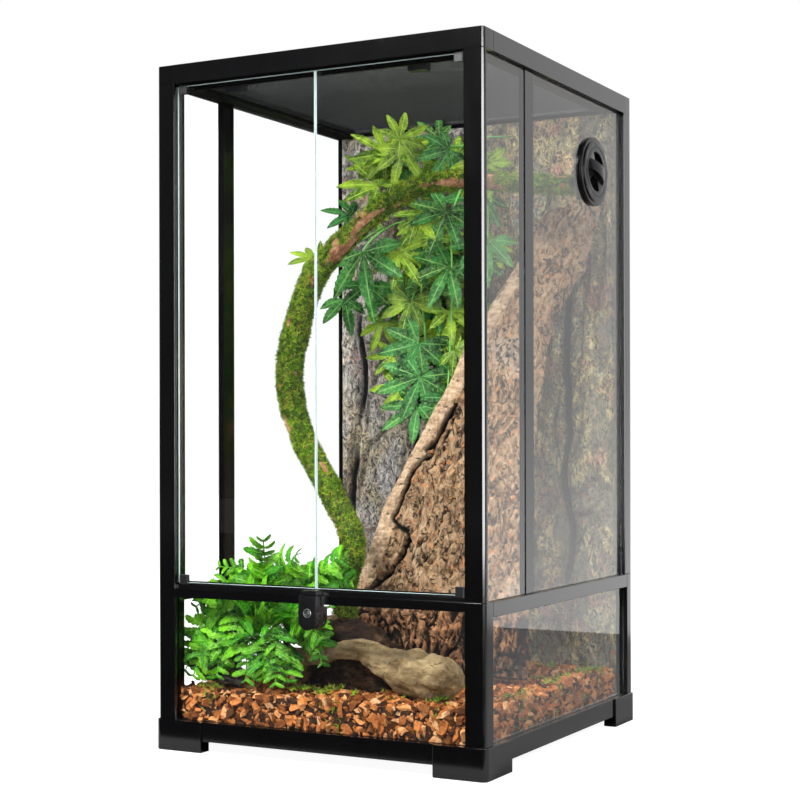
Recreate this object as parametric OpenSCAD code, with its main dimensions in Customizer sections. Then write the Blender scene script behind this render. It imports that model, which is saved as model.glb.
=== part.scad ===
// Tall glass terrarium for a tree-living reptile.
// Origin: centre of the base, on the floor. X to the right, Y to the back, Z up. Millimetres.

/* [Overall] */
// Width over the frame, left to right
width = 460; // [380:10:900]
// Depth over the frame, front to back
depth = 460; // [380:10:600]
// Height from the floor to the top of the frame
height = 860; // [700:10:1200]
// Height of the joint between the lower and the upper half
joint_z = 203; // [170:1:260]

/* [Frame] */
// Width of a corner post on the front and the back
post_w = 26; // [22:0.5:36]
// Depth of a lower front post on the side
front_post_side = 22; // [20:0.5:30]
// Depth of a lower back post on the side
back_post_side = 18; // [17:0.5:30]
// Depth of the face of an upper front post, ahead of the side pane
post_lip = 7; // [5:0.5:7.5]
// Depth of an upper front post inside the side pane
front_leg_side = 24; // [20:0.5:30]
// Depth of an upper back post on the side
upper_back_side = 25.5; // [17:0.5:30]
// Radius of the frame's upright corners
corner_r = 5.5; // [3:0.5:6]
// Thickness of the bottom rails and the side and back middle rails
rail_t = 15; // [14:0.5:20]
// Height of a bottom rail
bottom_rail_h = 24; // [20:0.5:32]
// Height of a side or back middle rail
mid_rail_h = 17.5; // [15:0.5:24]
// Height of the front middle rail
front_mid_h = 11; // [10:0.5:16]
// Thickness of the front middle rail
front_mid_t = 20; // [18:0.5:24]
// Height of a top rail
top_rail_h = 24; // [20:0.5:32]
// How far the ledge for the screen top reaches in from a top rail
ledge = 10; // [8:0.5:14]
// Thickness of that ledge
ledge_t = 4; // [3:0.5:6]
// Width of the upright divider in each side
divider_w = 24; // [18:0.5:30]
// Distance from the front of the frame to the middle of the divider
divider_from_front = 134; // [100:1:180]

/* [Feet] */
// Height of a corner foot
foot_h = 38; // [32:0.5:50]
// Length of each arm of a foot
foot_leg = 67; // [50:1:90]
// How far a foot stands proud of the frame
foot_proud = 2.5; // [1:0.5:4]
// Length of the tongue on a rail's end, inside the foot
tenon_l = 20; // [10:1:30]

/* [Glass] */
// Thickness of the glass
glass = 4; // [3:0.5:5]
// Depth of the outer face of the fixed glass behind the frame
recess = 6; // [4:0.5:6.5]
// How far a pane reaches into its groove
bite = 6; // [4:0.5:7]
// Clearance between a pane and its groove
play = 0.15; // [0.1:0.05:0.3]

/* [Doors] */
// Depth of the doors' outer face behind the front of the frame
door_recess = 7; // [6.5:0.5:8]
// Gap between the two doors
door_gap = 1.5; // [1:0.5:3]
// Gap between a door's outer edge and the post
door_side_gap = 0.7; // [0.5:0.1:2]
// Gap above the sill, under the hinge clips
door_sill_gap = 0.7; // [0.5:0.1:2]
// Height of the door sill on the front middle rail
sill_h = 4.5; // [3:0.5:8]
// Distance from a door's outer edge to its hinge axis
pivot_in = 5; // [4.5:0.25:6]
// Diameter of a hinge pin
pin_d = 4; // [3:0.5:5]
// Radial clearance of a hinge pin
pin_play = 0.05; // [0.02:0.01:0.1]
// Length of a hinge clip along the door
clip_l = 14; // [12:1:24]
// Height of the glass that a hinge clip covers
clip_h = 10; // [8:1:20]
// Wall of a hinge clip
clip_wall = 1.8; // [1.5:0.1:2]

/* [Lock] */
// Width of the lock
lock_w = 24; // [22:1:30]
// Lowest point of the lock below the joint
lock_drop = 41; // [36:1:50]
// How far the lock stands proud of the frame
lock_proud = 13; // [11:0.5:16]
// Height of the key barrel below the joint
key_drop = 20.5; // [18:0.5:24]
// Diameter of the key barrel
key_d = 11; // [9:0.5:12]
// Height of the head of the bolt
bolt_head_h = 6; // [4:0.5:6.2]
// Travel of the bolt
bolt_travel = 8; // [5:0.5:8]

/* [Vent] */
// Diameter of the vent's flange
vent_d = 90; // [70:1:100]
// Thickness of the vent's flange
vent_flange_t = 6; // [4:0.5:8]
// Diameter of the hole in the side pane
vent_hole_d = 72; // [50:1:80]
// Height of the vent's axis below the top of the frame
vent_drop = 119; // [100:1:200]
// Distance from the back of the frame to the vent's axis
vent_from_back = 126; // [100:1:160]
// Diameter of the turning disc
vent_disc_d = 64; // [50:1:68]
// How far the disc's grip stands proud of the flange
vent_grip_h = 9; // [5:0.5:12]

/* [Screen top] */
// Width of a bar of the screen's frame
screen_bar_w = 12; // [10:0.5:20]
// Height of a bar of the screen's frame
screen_bar_h = 10; // [9:0.5:14]
// Strands of the net each way
net_strands = 15; // [5:1:16]
// Width of a strand of the net
strand_w = 1.5; // [0.8:0.1:2]
// Width of a latch
latch_w = 25; // [18:1:30]
// Height of a latch's finger tab
latch_h = 12; // [8:1:14]
// Distance of a latch from the middle of the front
latch_x = 130; // [100:5:150]
// Travel of a latch
latch_travel = 3; // [2:0.5:3]
// How far the screen's front bar stands back from the frame, for the latches
latch_room = 6; // [5:0.5:8]

/* [Furnishing] */
// Height of the top of the bark bedding
bed_z = 80; // [60:1:120]
// Depth of the moulded background panel
panel_t = 26; // [15:1:40]
// Height of the background panel below the top of the frame
panel_drop = 32; // [28:1:80]
// Thickness of the cork slab
slab_t = 20; // [12:1:30]
// Radius of the mossy branch
branch_r = 13; // [8:0.5:18]
// Radius of the vine's stem
stem_r = 2.5; // [2:0.5:4]
// Length of a vine leaf
leaf_l = 62; // [40:1:70]
// Length of the shortest fern frond
frond_l = 95; // [70:1:100]

/* [Hidden] */

$fn = 48;
hw = width / 2;
hd = depth / 2;
rest_gap = 0.3;                              // gap under what rests or slides
through = 1;                                 // how far a cutter runs past the face it opens

rail_z = foot_h - bottom_rail_h;             // underside of the bottom rails
base_z = rail_z + 6;                         // underside of the glass floor
pane_foot_z = foot_h - 8;                    // lower edge of the lower panes
mid_z = joint_z - 0.5 - mid_rail_h;          // underside of the side and back middle rails
front_mid_z = joint_z - front_mid_h;         // underside of the front middle rail
top_z = height - top_rail_h;                 // underside of the top rails

post_x = hw - post_w;                        // inner face of every post, as seen from the front
glass_out = recess;                          // outer face of a fixed pane, in from the frame
glass_in = recess + glass;                   // inner face of a fixed pane, in from the frame

door_out_y = -hd + door_recess;              // outer face of the doors
door_in_y = door_out_y + glass;              // inner face of the doors
door_mid_y = door_out_y + glass / 2;         // the doors' middle plane, which holds the hinge axes
door_edge = post_x - door_side_gap;          // outer edge of a door
pivot_x = door_edge - pivot_in;              // hinge axis of a door
sill_z = joint_z + sill_h;                   // top of the door sill
clip_z = sill_z + door_sill_gap;             // underside of a lower hinge clip
door_z = clip_z + clip_wall;                 // lower edge of a door's glass
clip_top_z = top_z - door_sill_gap;          // top of an upper hinge clip
door_top_z = clip_top_z - clip_wall;         // upper edge of a door's glass
clip_r = glass / 2 + clip_wall;              // half the thickness of a hinge clip
stop_y = door_in_y + 4;                      // front face of the strips that the doors close against
stop_t = 4;                                  // thickness of those strips
stop_h = 8;                                  // height of those strips

divider_y = -hd + divider_from_front;        // middle of the side dividers
web = 6;                                     // thickness of a divider between its two panes

vent_y = hd - vent_from_back;
vent_z = height - vent_drop;
vent_face = hw - recess;                     // outer face of the vent's pane

lock_front_y = -hd - lock_proud;
key_z = joint_z - key_drop;

post_y = hd - post_w;                        // inner face of the front and back top rails
screen_x = post_x - 1;                       // outer edge of the screen at the sides
screen_y = post_y - 1;                       // outer edge of the screen at the front and back
screen_in_x = screen_x - screen_bar_w;       // inner edge of the screen's side bars
screen_front = post_y - latch_room;          // outer edge of its front bar
screen_in_y = screen_y - screen_bar_w;       // inner edge of the back bar
screen_in_front = screen_front - screen_bar_w;   // inner edge of the front bar
screen_z = top_z + ledge_t + rest_gap;       // underside of the screen
net_z = screen_z + screen_bar_h / 2;         // underside of the net
net_t = 1;                                   // thickness of the net
net_grip = 3;                                // how far the net reaches into the bars
net_gap = 0.1;                               // clearance round the net in its groove

neck_l = 2;                                  // depth of a latch's neck
neck_y = -screen_front - latch_travel - neck_l - 0.4;   // front of the neck with the latch open
neck_w = 12;                                 // width of the neck and the hook
hook_l = neck_l + latch_travel;              // depth of the hook on the neck
hook_t = 2;                                  // thickness of the hook
tab_l = 13;                                  // depth of the finger tab

bed_half = hw - rail_t - rest_gap;           // half width of what stands between the rails
bed_half_y = hd - rail_t - rest_gap;
panel_y = bed_half_y - panel_t;              // front face of the background panel
panel_top = height - panel_drop;
inner_w = hw - 16;                           // half width that the furnishing is laid out on
inner_front = -hd + 30;                      // front of the space that it is laid out in
inner_d = panel_y - inner_front;
inner_h = panel_top - bed_z;

// A place inside: u from -1, left, to 1, right; v from 0, doors, to 1, panel; w from 0, bed, to 1, top
function inside(u, v, w) = [u * inner_w, inner_front + v * inner_d, bed_z + w * inner_h];

// A box between two corners
module block(low, high) translate(low) cube(high - low);

// A box mirrored to the right-hand side when side is 1
module on_side(side) {
    if (side > 0) mirror([1, 0, 0]) children();
    else children();
}

// Moves a piece drawn at the front left corner to another corner
module at_corner(right, back) {
    if (back) mirror([0, 1, 0]) on_side(right ? 1 : 0) children();
    else on_side(right ? 1 : 0) children();
}

// --- glass -----------------------------------------------------------------------------------------

// Each fixed pane as two corners. The grooves are the same boxes, grown by the play.
front_lower_box = [[-post_x - bite, -hd + glass_out, pane_foot_z],
                   [post_x + bite, -hd + glass_in, front_mid_z + 4.5]];
back_lower_box = [[-post_x - bite, hd - glass_in, pane_foot_z],
                  [post_x + bite, hd - glass_out, mid_z + 5]];
left_lower_box = [[-hw + glass_out, -hd + front_post_side - bite, pane_foot_z],
                  [-hw + glass_in, hd - back_post_side + bite, mid_z + 5]];
left_front_box = [[-hw + glass_out, -hd + post_lip + play, joint_z - 7],
                  [-hw + glass_in, divider_y - web / 2 - play, top_z + bite]];
left_rear_box = [[-hw + glass_out, divider_y + web / 2 + play, joint_z - 7],
                 [-hw + glass_in, hd - upper_back_side + bite, top_z + bite]];
back_upper_box = [[-post_x - bite, hd - glass_in, joint_z - 7],
                  [post_x + bite, hd - glass_out, top_z + bite]];
base_box = [[-hw + rail_t - bite, -hd + rail_t - bite, base_z],
            [hw - rail_t + bite, hd - rail_t + bite, base_z + glass]];

module pane(box, grow = 0) {
    g = [grow, grow, grow];
    block(box[0] - g, box[1] + g);
}

module glass_color() color([0.75, 0.85, 0.82, 0.35]) children();

// Every groove that the fixed panes need in the frame
module grooves() {
    for (box = [front_lower_box, back_lower_box, back_upper_box, base_box]) pane(box, play);
    for (side = [0, 1], box = [left_lower_box, left_front_box, left_rear_box])
        on_side(side) pane(box, play);
}

module base_pane() glass_color() pane(base_box);
module front_lower_pane() glass_color() difference() {
    pane(front_lower_box);
    lock_bosses(0.3);
}
module back_lower_pane() glass_color() pane(back_lower_box);
module side_lower_pane(side) glass_color() on_side(side) pane(left_lower_box);
module side_front_pane(side) glass_color() on_side(side) pane(left_front_box);
module left_rear_pane() glass_color() pane(left_rear_box);
module right_rear_pane() glass_color() difference() {
    on_side(1) pane(left_rear_box);
    translate([hw - glass_in - through, vent_y, vent_z]) rotate([0, 90, 0])
        cylinder(d = vent_hole_d, h = glass + 2 * through);
}
module back_upper_pane() glass_color() pane(back_upper_box);

// --- frame -----------------------------------------------------------------------------------------

module frame_color() color([0.06, 0.06, 0.07]) children();

// A square plan with one rounded corner, at the front left corner of a box of size hw by hd
module post_plan(w, side, grow = 0) {
    r = corner_r + grow;
    translate([-hw - grow, -hd - grow]) {
        translate([r, 0]) square([w + grow - r, side + grow]);
        translate([0, r]) square([w + grow, side + grow - r]);
        translate([r, r]) circle(r = r);
    }
}

// An L of two arms with a rounded outer corner
module foot_plan(proud) {
    post_plan(foot_leg, rail_t, proud);
    post_plan(rail_t, foot_leg, proud);
}

tenon_gap = 0.15;                            // clearance round a tongue in its foot
tenon_w = 8;                                 // thickness of a tongue
tenon_h = 14;                                // height of a tongue

// Where a rail's tongue lies, from the middle of the rail to its end
module tongue(half, offset, grow) {
    inset = (rail_t - tenon_w) / 2;
    block([-half - grow, offset + inset - grow, rail_z + (bottom_rail_h - tenon_h) / 2 - grow],
          [half + grow, offset + inset + tenon_w + grow, rail_z + (bottom_rail_h + tenon_h) / 2 + grow]);
}

rail_half = hw - foot_leg;                   // half length of the front and back bottom rails
rail_half_y = hd - foot_leg;                 // half length of the side bottom rails

module foot(right, back) frame_color() difference() {
    at_corner(right, back) difference() {
        linear_extrude(foot_h) foot_plan(foot_proud);
        tongue(rail_half + tenon_l, -hd, tenon_gap);
        rotate(-90) tongue(rail_half_y + tenon_l, -hw, tenon_gap);
    }
    grooves();
}

module bottom_rail(half, out) {
    block([-half, -out, rail_z], [half, -out + rail_t, foot_h]);
    tongue(half + tenon_l, -out, 0);
}

module front_bottom_rail() frame_color() difference() {
    bottom_rail(rail_half, hd);
    grooves();
}
module back_bottom_rail() frame_color() difference() {
    mirror([0, 1, 0]) bottom_rail(rail_half, hd);
    grooves();
}
module side_bottom_rail(side) frame_color() difference() {
    on_side(side) rotate(-90) bottom_rail(rail_half_y, hw);
    grooves();
}

module lower_post(right, back) frame_color() difference() {
    at_corner(right, back) translate([0, 0, foot_h]) linear_extrude(joint_z - foot_h)
        post_plan(post_w, back ? back_post_side : front_post_side);
    grooves();
}

module upper_front_post(right) frame_color() at_corner(right, false)
    translate([0, 0, joint_z]) linear_extrude(top_z - joint_z) difference() {
        post_plan(post_w, front_leg_side);
        translate([-hw - through, -hd + post_lip])
            square([glass_in + play + through, front_leg_side]);
    }

module upper_back_post(right) frame_color() difference() {
    at_corner(right, true) translate([0, 0, joint_z]) linear_extrude(top_z - joint_z)
        post_plan(post_w, upper_back_side);
    grooves();
}

// The door's hinge bores, at the left or the right
module pivot_bore(side, z, h) on_side(side) translate([-pivot_x, door_mid_y, z])
    cylinder(d = pin_d + 2 * pin_play, h = h);

module front_mid_rail() frame_color() difference() {
    union() {
        block([-post_x, -hd, front_mid_z], [post_x, -hd + front_mid_t, joint_z]);
        block([-post_x, -hd + 4, joint_z - through], [post_x, -hd + front_mid_t, sill_z]);
        block([-post_x, stop_y, sill_z - through], [post_x, stop_y + stop_t, sill_z + stop_h / 2]);
    }
    pane(front_lower_box, play);
    for (side = [0, 1]) pivot_bore(side, joint_z - 1, sill_h + 2);
}

module back_mid_rail() frame_color() difference() {
    block([-post_x, hd - rail_t, mid_z], [post_x, hd, mid_z + mid_rail_h]);
    grooves();
}

module side_mid_rail(side) frame_color() difference() {
    on_side(side) block([-hw, -hd + front_post_side, mid_z],
                        [-hw + rail_t, hd - back_post_side, mid_z + mid_rail_h]);
    grooves();
}

divider_face = recess - 0.5;                 // how far the divider stands proud of the panes
divider_back = 6;                            // how far it reaches inside them

module divider(side) frame_color() difference() {
    on_side(side) block([-hw + recess - divider_face, divider_y - divider_w / 2, mid_z + mid_rail_h],
                        [-hw + glass_in + divider_back, divider_y + divider_w / 2, top_z]);
    grooves();
}

// One top rail along the front, with the ledge that the screen rests on
module top_rail(half, out, ledge_half) {
    block([-half, -out, top_z], [half, -out + post_w, height]);
    block([-ledge_half, -out + post_w - through, top_z],
          [ledge_half, -out + post_w + ledge, top_z + ledge_t]);
}

// Slots in the front ledge for the latches' necks
module latch_slots() {
    for (side = [-1, 1])
        block([side * latch_x - neck_w / 2 - rest_gap, -post_y, top_z - through],
              [side * latch_x + neck_w / 2 + rest_gap, -post_y + ledge + through, top_z + ledge_t + through]);
}

module front_top_rail() frame_color() difference() {
    union() {
        top_rail(post_x, hd, post_x);
        block([-post_x, stop_y, top_z - stop_h], [post_x, stop_y + stop_t, top_z + through]);
    }
    for (side = [0, 1]) pivot_bore(side, top_z - through, 7 + through);
    latch_slots();
}

module back_top_rail() frame_color() difference() {
    mirror([0, 1, 0]) top_rail(post_x, hd, post_x);
    grooves();
}

module side_top_rail(side) frame_color() difference() {
    on_side(side) rotate(-90) top_rail(hd - post_w, hw, hd - post_w - ledge);
    grooves();
}

module top_corner_blocks() frame_color() difference() {
    for (right = [false, true], back = [false, true])
        at_corner(right, back) translate([0, 0, top_z]) linear_extrude(top_rail_h)
            post_plan(post_w, post_w);
    grooves();
}

// --- doors -----------------------------------------------------------------------------------------

module door_pane(side) glass_color() on_side(side)
    block([-door_edge, door_out_y, door_z], [-door_gap / 2, door_in_y, door_top_z]);

// The body of one hinge clip, round at the hinge axis
module clip_body(z, h) {
    translate([-pivot_x, door_mid_y, z]) cylinder(r = clip_r, h = h);
    block([-pivot_x, door_mid_y - clip_r, z],
          [-door_edge + clip_l, door_mid_y + clip_r, z + h]);
}

pin_l = 5;                                   // length of an upper hinge pin
sill_pin_l = clip_z - joint_z - 0.4;         // length of a lower hinge pin

module door_clips(side) color([0.1, 0.1, 0.11]) on_side(side) {
    difference() {
        union() {
            clip_body(clip_z, clip_wall + clip_h);
            clip_body(door_top_z - clip_h, clip_wall + clip_h);
        }
        block([-door_edge - through, door_out_y - play / 3, door_z],
              [-door_edge + clip_l + through, door_in_y + play / 3, door_top_z]);
    }
    translate([-pivot_x, door_mid_y, clip_z - sill_pin_l]) cylinder(d = pin_d, h = sill_pin_l);
    translate([-pivot_x, door_mid_y, clip_top_z]) cylinder(d = pin_d, h = pin_l);
}

// --- lock ------------------------------------------------------------------------------------------

module lock_color() color([0.09, 0.09, 0.1]) children();

lock_back_y = -hd + glass_out - rest_gap;    // back of the housing, against the lower pane
drum_d = key_d - 1;                          // the barrel's drum, which lifts the bolt
drum_y0 = lock_front_y + 4.6;                // front of the drum
drum_y1 = drum_y0 + 6;                       // back of the drum
journal_d = 6;                               // the barrel's rear end
stem_x0 = drum_d / 2 + rest_gap;             // the bolt's stem beside the drum
stem_x1 = stem_x0 + 4.5;
boss_d = 5;                                  // the bosses that hold the inner plate
boss_x = 7;
boss_z = key_z - 12.5;
inner_plate_t = 5;

module lock_bosses(grow) {
    for (x = [-boss_x, boss_x])
        translate([x, -hd + glass_in + inner_plate_t, boss_z]) rotate([90, 0, 0])
            cylinder(d = boss_d + 2 * grow, h = glass + inner_plate_t + 1);
}

// Outline of the lock from the front, with its round lower end
module lock_outline() {
    r = lock_w / 2;
    translate([0, joint_z - lock_drop + r]) circle(r = r);
    translate([-r, joint_z - lock_drop + r]) square([lock_w, lock_drop - r]);
}

module lock_housing() lock_color() {
    difference() {
        translate([0, lock_back_y, 0]) rotate([90, 0, 0])
            linear_extrude(lock_back_y - lock_front_y) lock_outline();
        // room for the front middle rail
        block([-lock_w, -hd - play, front_mid_z - play], [lock_w, 0, joint_z + through]);
        // the well for the drum and the bolt's stem
        block([-drum_d / 2 - 0.5, drum_y0 - play, key_z - 9],
              [stem_x1 + rest_gap, drum_y1 + play, key_z + drum_d / 2 + 2]);
        block([stem_x0 - rest_gap / 2, drum_y0 - play, key_z],
              [stem_x1 + rest_gap, drum_y1 + play, joint_z + through]);
        translate([0, drum_y0, key_z]) rotate([90, 0, 0]) cylinder(d = key_d + 0.1, h = 10);
        translate([0, drum_y1 + 4, key_z]) rotate([90, 0, 0]) cylinder(d = journal_d + 0.1, h = 5);
    }
    lock_bosses(0);
}

module lock_cylinder() color([0.75, 0.76, 0.78]) difference() {
    union() {
        translate([0, drum_y0, key_z]) rotate([90, 0, 0])
            cylinder(d = key_d, h = drum_y0 - lock_front_y + 0.8);
        translate([0, drum_y1, key_z]) rotate([90, 0, 0]) cylinder(d = drum_d, h = drum_y1 - drum_y0);
        translate([0, drum_y1 + 3.5, key_z]) rotate([90, 0, 0]) cylinder(d = journal_d, h = 4);
    }
    // keyway
    translate([0, lock_front_y - 2, key_z]) rotate([0, 35, 0])
        block([-0.6, 0, -3], [0.6, 7, 3]);
}

module lock_bolt() lock_color() {
    block([stem_x0, drum_y0 + rest_gap, key_z - 6], [stem_x1, drum_y1, joint_z + rest_gap + 1]);
    block([-lock_w / 2 + 1, lock_front_y + 3, joint_z + rest_gap],
          [lock_w / 2 - 1, -hd + 4 - 0.6, joint_z + rest_gap + bolt_head_h]);
}

module lock_inner_plate() lock_color() difference() {
    translate([0, -hd + glass_in + inner_plate_t, 0]) rotate([90, 0, 0])
        linear_extrude(inner_plate_t - play) intersection() {
            lock_outline();
            translate([-lock_w, 0]) square([2 * lock_w, front_mid_z - 3]);
        }
    lock_bosses(0.05);
}

// --- vent ------------------------------------------------------------------------------------------

module vent_color() color([0.05, 0.05, 0.06]) children();

// Places a piece drawn upright about Z, with its foot on the outer face of the vent's pane
module at_vent() translate([vent_face, vent_y, vent_z]) rotate([0, 90, 0]) children();

vent_neck_d = vent_hole_d - 1;               // tube that passes through the pane
vent_bore_d = vent_disc_d + 0.8;             // well that the disc turns in
hub_d = 12;                                  // spindle that the disc turns on
floor_z = 1;                                 // front face of the vent's floor, from the pane
floor_t = 2.5;
slot_a = 40;                                 // half angle of each air slot
slot_in = 9;                                 // inner radius of an air slot
slot_out = vent_disc_d / 2 - 6;              // outer radius of an air slot
nut_t = 6;
nut_gap = 0.1;

// Two opposite wedge-shaped air slots
module air_slots(h, turn) for (half = [0, 180]) rotate(turn + half) intersection() {
    difference() {
        cylinder(r = slot_out, h = h);
        translate([0, 0, -through]) cylinder(r = slot_in, h = h + 2 * through);
    }
    linear_extrude(h) polygon([[0, 0], [slot_out * 2, -slot_out * 2 * tan(slot_a)],
                               [slot_out * 2, slot_out * 2 * tan(slot_a)]]);
}

module vent_flange() vent_color() at_vent() difference() {
    union() {
        translate([0, 0, rest_gap]) cylinder(d = vent_d, h = vent_flange_t - 2);
        translate([0, 0, rest_gap]) cylinder(d = vent_d - 10, h = vent_flange_t);
        translate([0, 0, -glass - nut_t - 1]) cylinder(d = vent_neck_d, h = glass + nut_t + 2);
    }
    translate([0, 0, floor_z]) cylinder(d = vent_bore_d, h = vent_flange_t + through);
    translate([0, 0, -glass - nut_t - 2])
        cylinder(d = vent_bore_d, h = glass + nut_t + 2 + floor_z - floor_t);
    translate([0, 0, floor_z - floor_t - through]) cylinder(d = hub_d + 0.1, h = floor_t + 2 * through);
    translate([0, 0, floor_z - floor_t - through]) air_slots(floor_t + 2 * through, 70);
}

module vent_disc() vent_color() at_vent() difference() {
    union() {
        translate([0, 0, floor_z + rest_gap]) cylinder(d = vent_disc_d, h = vent_flange_t - floor_z);
        translate([0, 0, floor_z - floor_t - 1]) cylinder(d = hub_d, h = floor_t + 2);
        // the spindle's flanged tip, behind the floor
        translate([0, 0, floor_z - floor_t - 2]) cylinder(d = hub_d + 4, h = 2 - rest_gap);
        intersection() {
            translate([0, 0, vent_flange_t + vent_grip_h - vent_disc_d * 0.75])
                sphere(d = vent_disc_d * 1.5);
            rotate(-20) block([-7, -vent_disc_d / 2 + 3, floor_z + 1],
                              [7, vent_disc_d / 2 - 3, vent_flange_t + vent_grip_h]);
            cylinder(d = vent_disc_d, h = vent_flange_t + vent_grip_h);
        }
    }
    translate([0, 0, floor_z]) air_slots(vent_flange_t, -20);
}

module vent_nut() vent_color() at_vent() translate([0, 0, -glass - rest_gap - nut_t]) difference() {
    cylinder(d = vent_d - 4, h = nut_t);
    translate([0, 0, -through]) cylinder(d = vent_neck_d + 2 * nut_gap, h = nut_t + 2 * through);
}

// --- screen top ------------------------------------------------------------------------------------

module screen_color() color([0.08, 0.08, 0.09]) children();

module net_groove(grow) {
    half_x = screen_in_x + net_grip + grow;
    block([-half_x, -screen_in_front - net_grip - grow, net_z - grow],
          [half_x, screen_in_y + net_grip + grow, net_z + net_t + grow]);
}

module screen_end_bars() screen_color() difference() {
    for (ends = [[-screen_front, -screen_in_front], [screen_in_y, screen_y]])
        block([-screen_x, ends[0], screen_z], [screen_x, ends[1], screen_z + screen_bar_h]);
    net_groove(net_gap);
}

module screen_side_bars() screen_color() difference() {
    for (side = [0, 1]) on_side(side)
        block([-screen_x, -screen_in_front, screen_z], [-screen_in_x, screen_in_y, screen_z + screen_bar_h]);
    net_groove(net_gap);
}

module screen_mesh() color([0.25, 0.25, 0.26]) translate([0, 0, net_z]) linear_extrude(net_t) {
    half_x = screen_in_x + net_grip;
    front = -screen_in_front - net_grip;
    back = screen_in_y + net_grip;
    for (i = [0 : net_strands]) {
        translate([-half_x + (2 * half_x - strand_w) * i / net_strands, front])
            square([strand_w, back - front]);
        translate([-half_x, front + (back - front - strand_w) * i / net_strands])
            square([2 * half_x, strand_w]);
    }
}

// A latch hangs on its neck in a slot of the front ledge. Pushed back, its hook lies over the screen.
module screen_latch(side) color([0.12, 0.12, 0.13]) translate([side * latch_x, 0, 0]) {
    tab_y = -screen_y - 2;
    hook_z = screen_z + screen_bar_h + rest_gap;
    block([-latch_w / 2, tab_y, top_z - rest_gap - latch_h], [latch_w / 2, tab_y + tab_l, top_z - rest_gap]);
    block([-neck_w / 2, neck_y, top_z - 1], [neck_w / 2, neck_y + neck_l, hook_z + hook_t]);
    block([-neck_w / 2, neck_y, hook_z], [neck_w / 2, neck_y + hook_l, hook_z + hook_t]);
}

// --- furnishing ------------------------------------------------------------------------------------

// A tube along a route: points gives the places and radii the radius at each
function unit(v) = v / norm(v);
function along(points, i) = unit(points[min(i + 1, len(points) - 1)] - points[max(i - 1, 0)]);
function across(t, up) = unit(cross(t, up));

module tube(points, radii, sides, up) {
    n = len(points);
    ring = [for (i = [0 : n - 1]) let (t = along(points, i), a = across(t, up), b = cross(a, t))
        for (k = [0 : sides - 1])
            points[i] + radii[i] * (cos(360 * k / sides) * a + sin(360 * k / sides) * b)];
    walls = [for (i = [0 : n - 2]) for (k = [0 : sides - 1]) let (m = (k + 1) % sides)
        each [[i * sides + k, i * sides + m, (i + 1) * sides + m],
              [i * sides + k, (i + 1) * sides + m, (i + 1) * sides + k]]];
    caps = [for (k = [1 : sides - 2]) each [[0, k + 1, k],
        [(n - 1) * sides, (n - 1) * sides + k, (n - 1) * sides + k + 1]]];
    polyhedron(ring, concat(walls, caps));
}

// The background panel stands in front of the back rails, notched round the upper back posts
module background_panel() color([0.36, 0.33, 0.3]) difference() {
    block([-bed_half, panel_y, base_z + glass + rest_gap], [bed_half, panel_y + panel_t, panel_top]);
    for (side = [0, 1]) on_side(side)
        block([-hw, hd - upper_back_side - rest_gap, 0], [-post_x + rest_gap, hd, height]);
}

slab_foot = inside(0, 0.5, 0);               // foot of the slab's back face
slab_reach = 0.865;                          // how high its top end leans on the panel
slab_tilt = atan((panel_y - rest_gap - slab_foot[1]) / (slab_reach * inner_h));
slab_outline = [[-0.3, -0.06], [-0.36, 0.09], [-0.4, 0.14], [-0.28, 0.285], [-0.1, 0.41], [0.065, 0.51],
                [0.14, 0.575], [0.31, 0.67], [0.48, 0.76], [0.61, 0.85], [0.9, 0.865], [0.95, 0.84],
                [0.88, 0.715], [0.71, 0.625], [0.68, 0.48], [0.7, 0.3], [0.77, 0.15], [0.86, -0.06]];

module cork_slab() color([0.62, 0.48, 0.35]) intersection() {
    translate([0, slab_foot[1], bed_z]) rotate([90 - slab_tilt, 0, 0]) linear_extrude(slab_t)
        polygon([for (p = slab_outline) [p[0] * inner_w, p[1] * inner_h / cos(slab_tilt)]]);
    block([-hw, -hd, bed_z], [hw, hd, height]);
}

// Route of the mossy branch, from the bed up and round to the right side
branch_route = [[-0.31, 0.4, 0], [-0.31, 0.4, 0.155], [-0.26, 0.41, 0.235], [-0.46, 0.44, 0.32],
                [-0.73, 0.48, 0.41], [-0.87, 0.5, 0.505], [-0.85, 0.515, 0.595], [-0.725, 0.54, 0.705],
                [-0.49, 0.565, 0.775], [-0.14, 0.62, 0.855], [0.24, 0.67, 0.88], [0.69, 0.71, 0.865],
                [0.93, 0.745, 0.86]];

module moss_branch() color([0.33, 0.42, 0.12]) intersection() {
    tube([for (p = branch_route) inside(p[0], p[1], p[2])], [for (p = branch_route) branch_r], 8, [0, 1, 0]);
    block([-hw, -hd, bed_z], [hw, hd, height]);
}

blade_t = 1.5;                               // thickness of a leaf and of a frond

// One five-fingered leaf, drawn flat with its stalk at the origin and its tip along Y
fingers = [[-100, 0.55], [-52, 0.8], [0, 1], [52, 0.8], [100, 0.55]];

module leaf(l) translate([0, 0, -blade_t / 2]) linear_extrude(blade_t) {
    translate([-1, -2]) square([2, l * 0.3]);
    translate([0, l * 0.2]) for (f = fingers) rotate(f[0])
        polygon([[0, -1], [l * 0.1, l * f[1] * 0.4], [0, l * f[1] * 0.8], [-l * 0.1, l * f[1] * 0.4]]);
}

// The vine's two stems, which hang from the top of the panel
vine_top = inside(0.28, 1, 0.98) - [0, rest_gap, 0];
main_stem = [vine_top, vine_top - [0, 14, 0], inside(0.09, 0.9, 0.91), inside(-0.09, 0.88, 0.78),
             inside(-0.14, 0.86, 0.65), inside(-0.33, 0.85, 0.53)];
side_stem = [inside(0.09, 0.9, 0.91), inside(-0.28, 0.8, 0.945), inside(-0.56, 0.7, 0.91)];

module stem(points) tube(points, [for (p = points) stem_r], 6, unit([1, 0.2, 0.3]));

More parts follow.
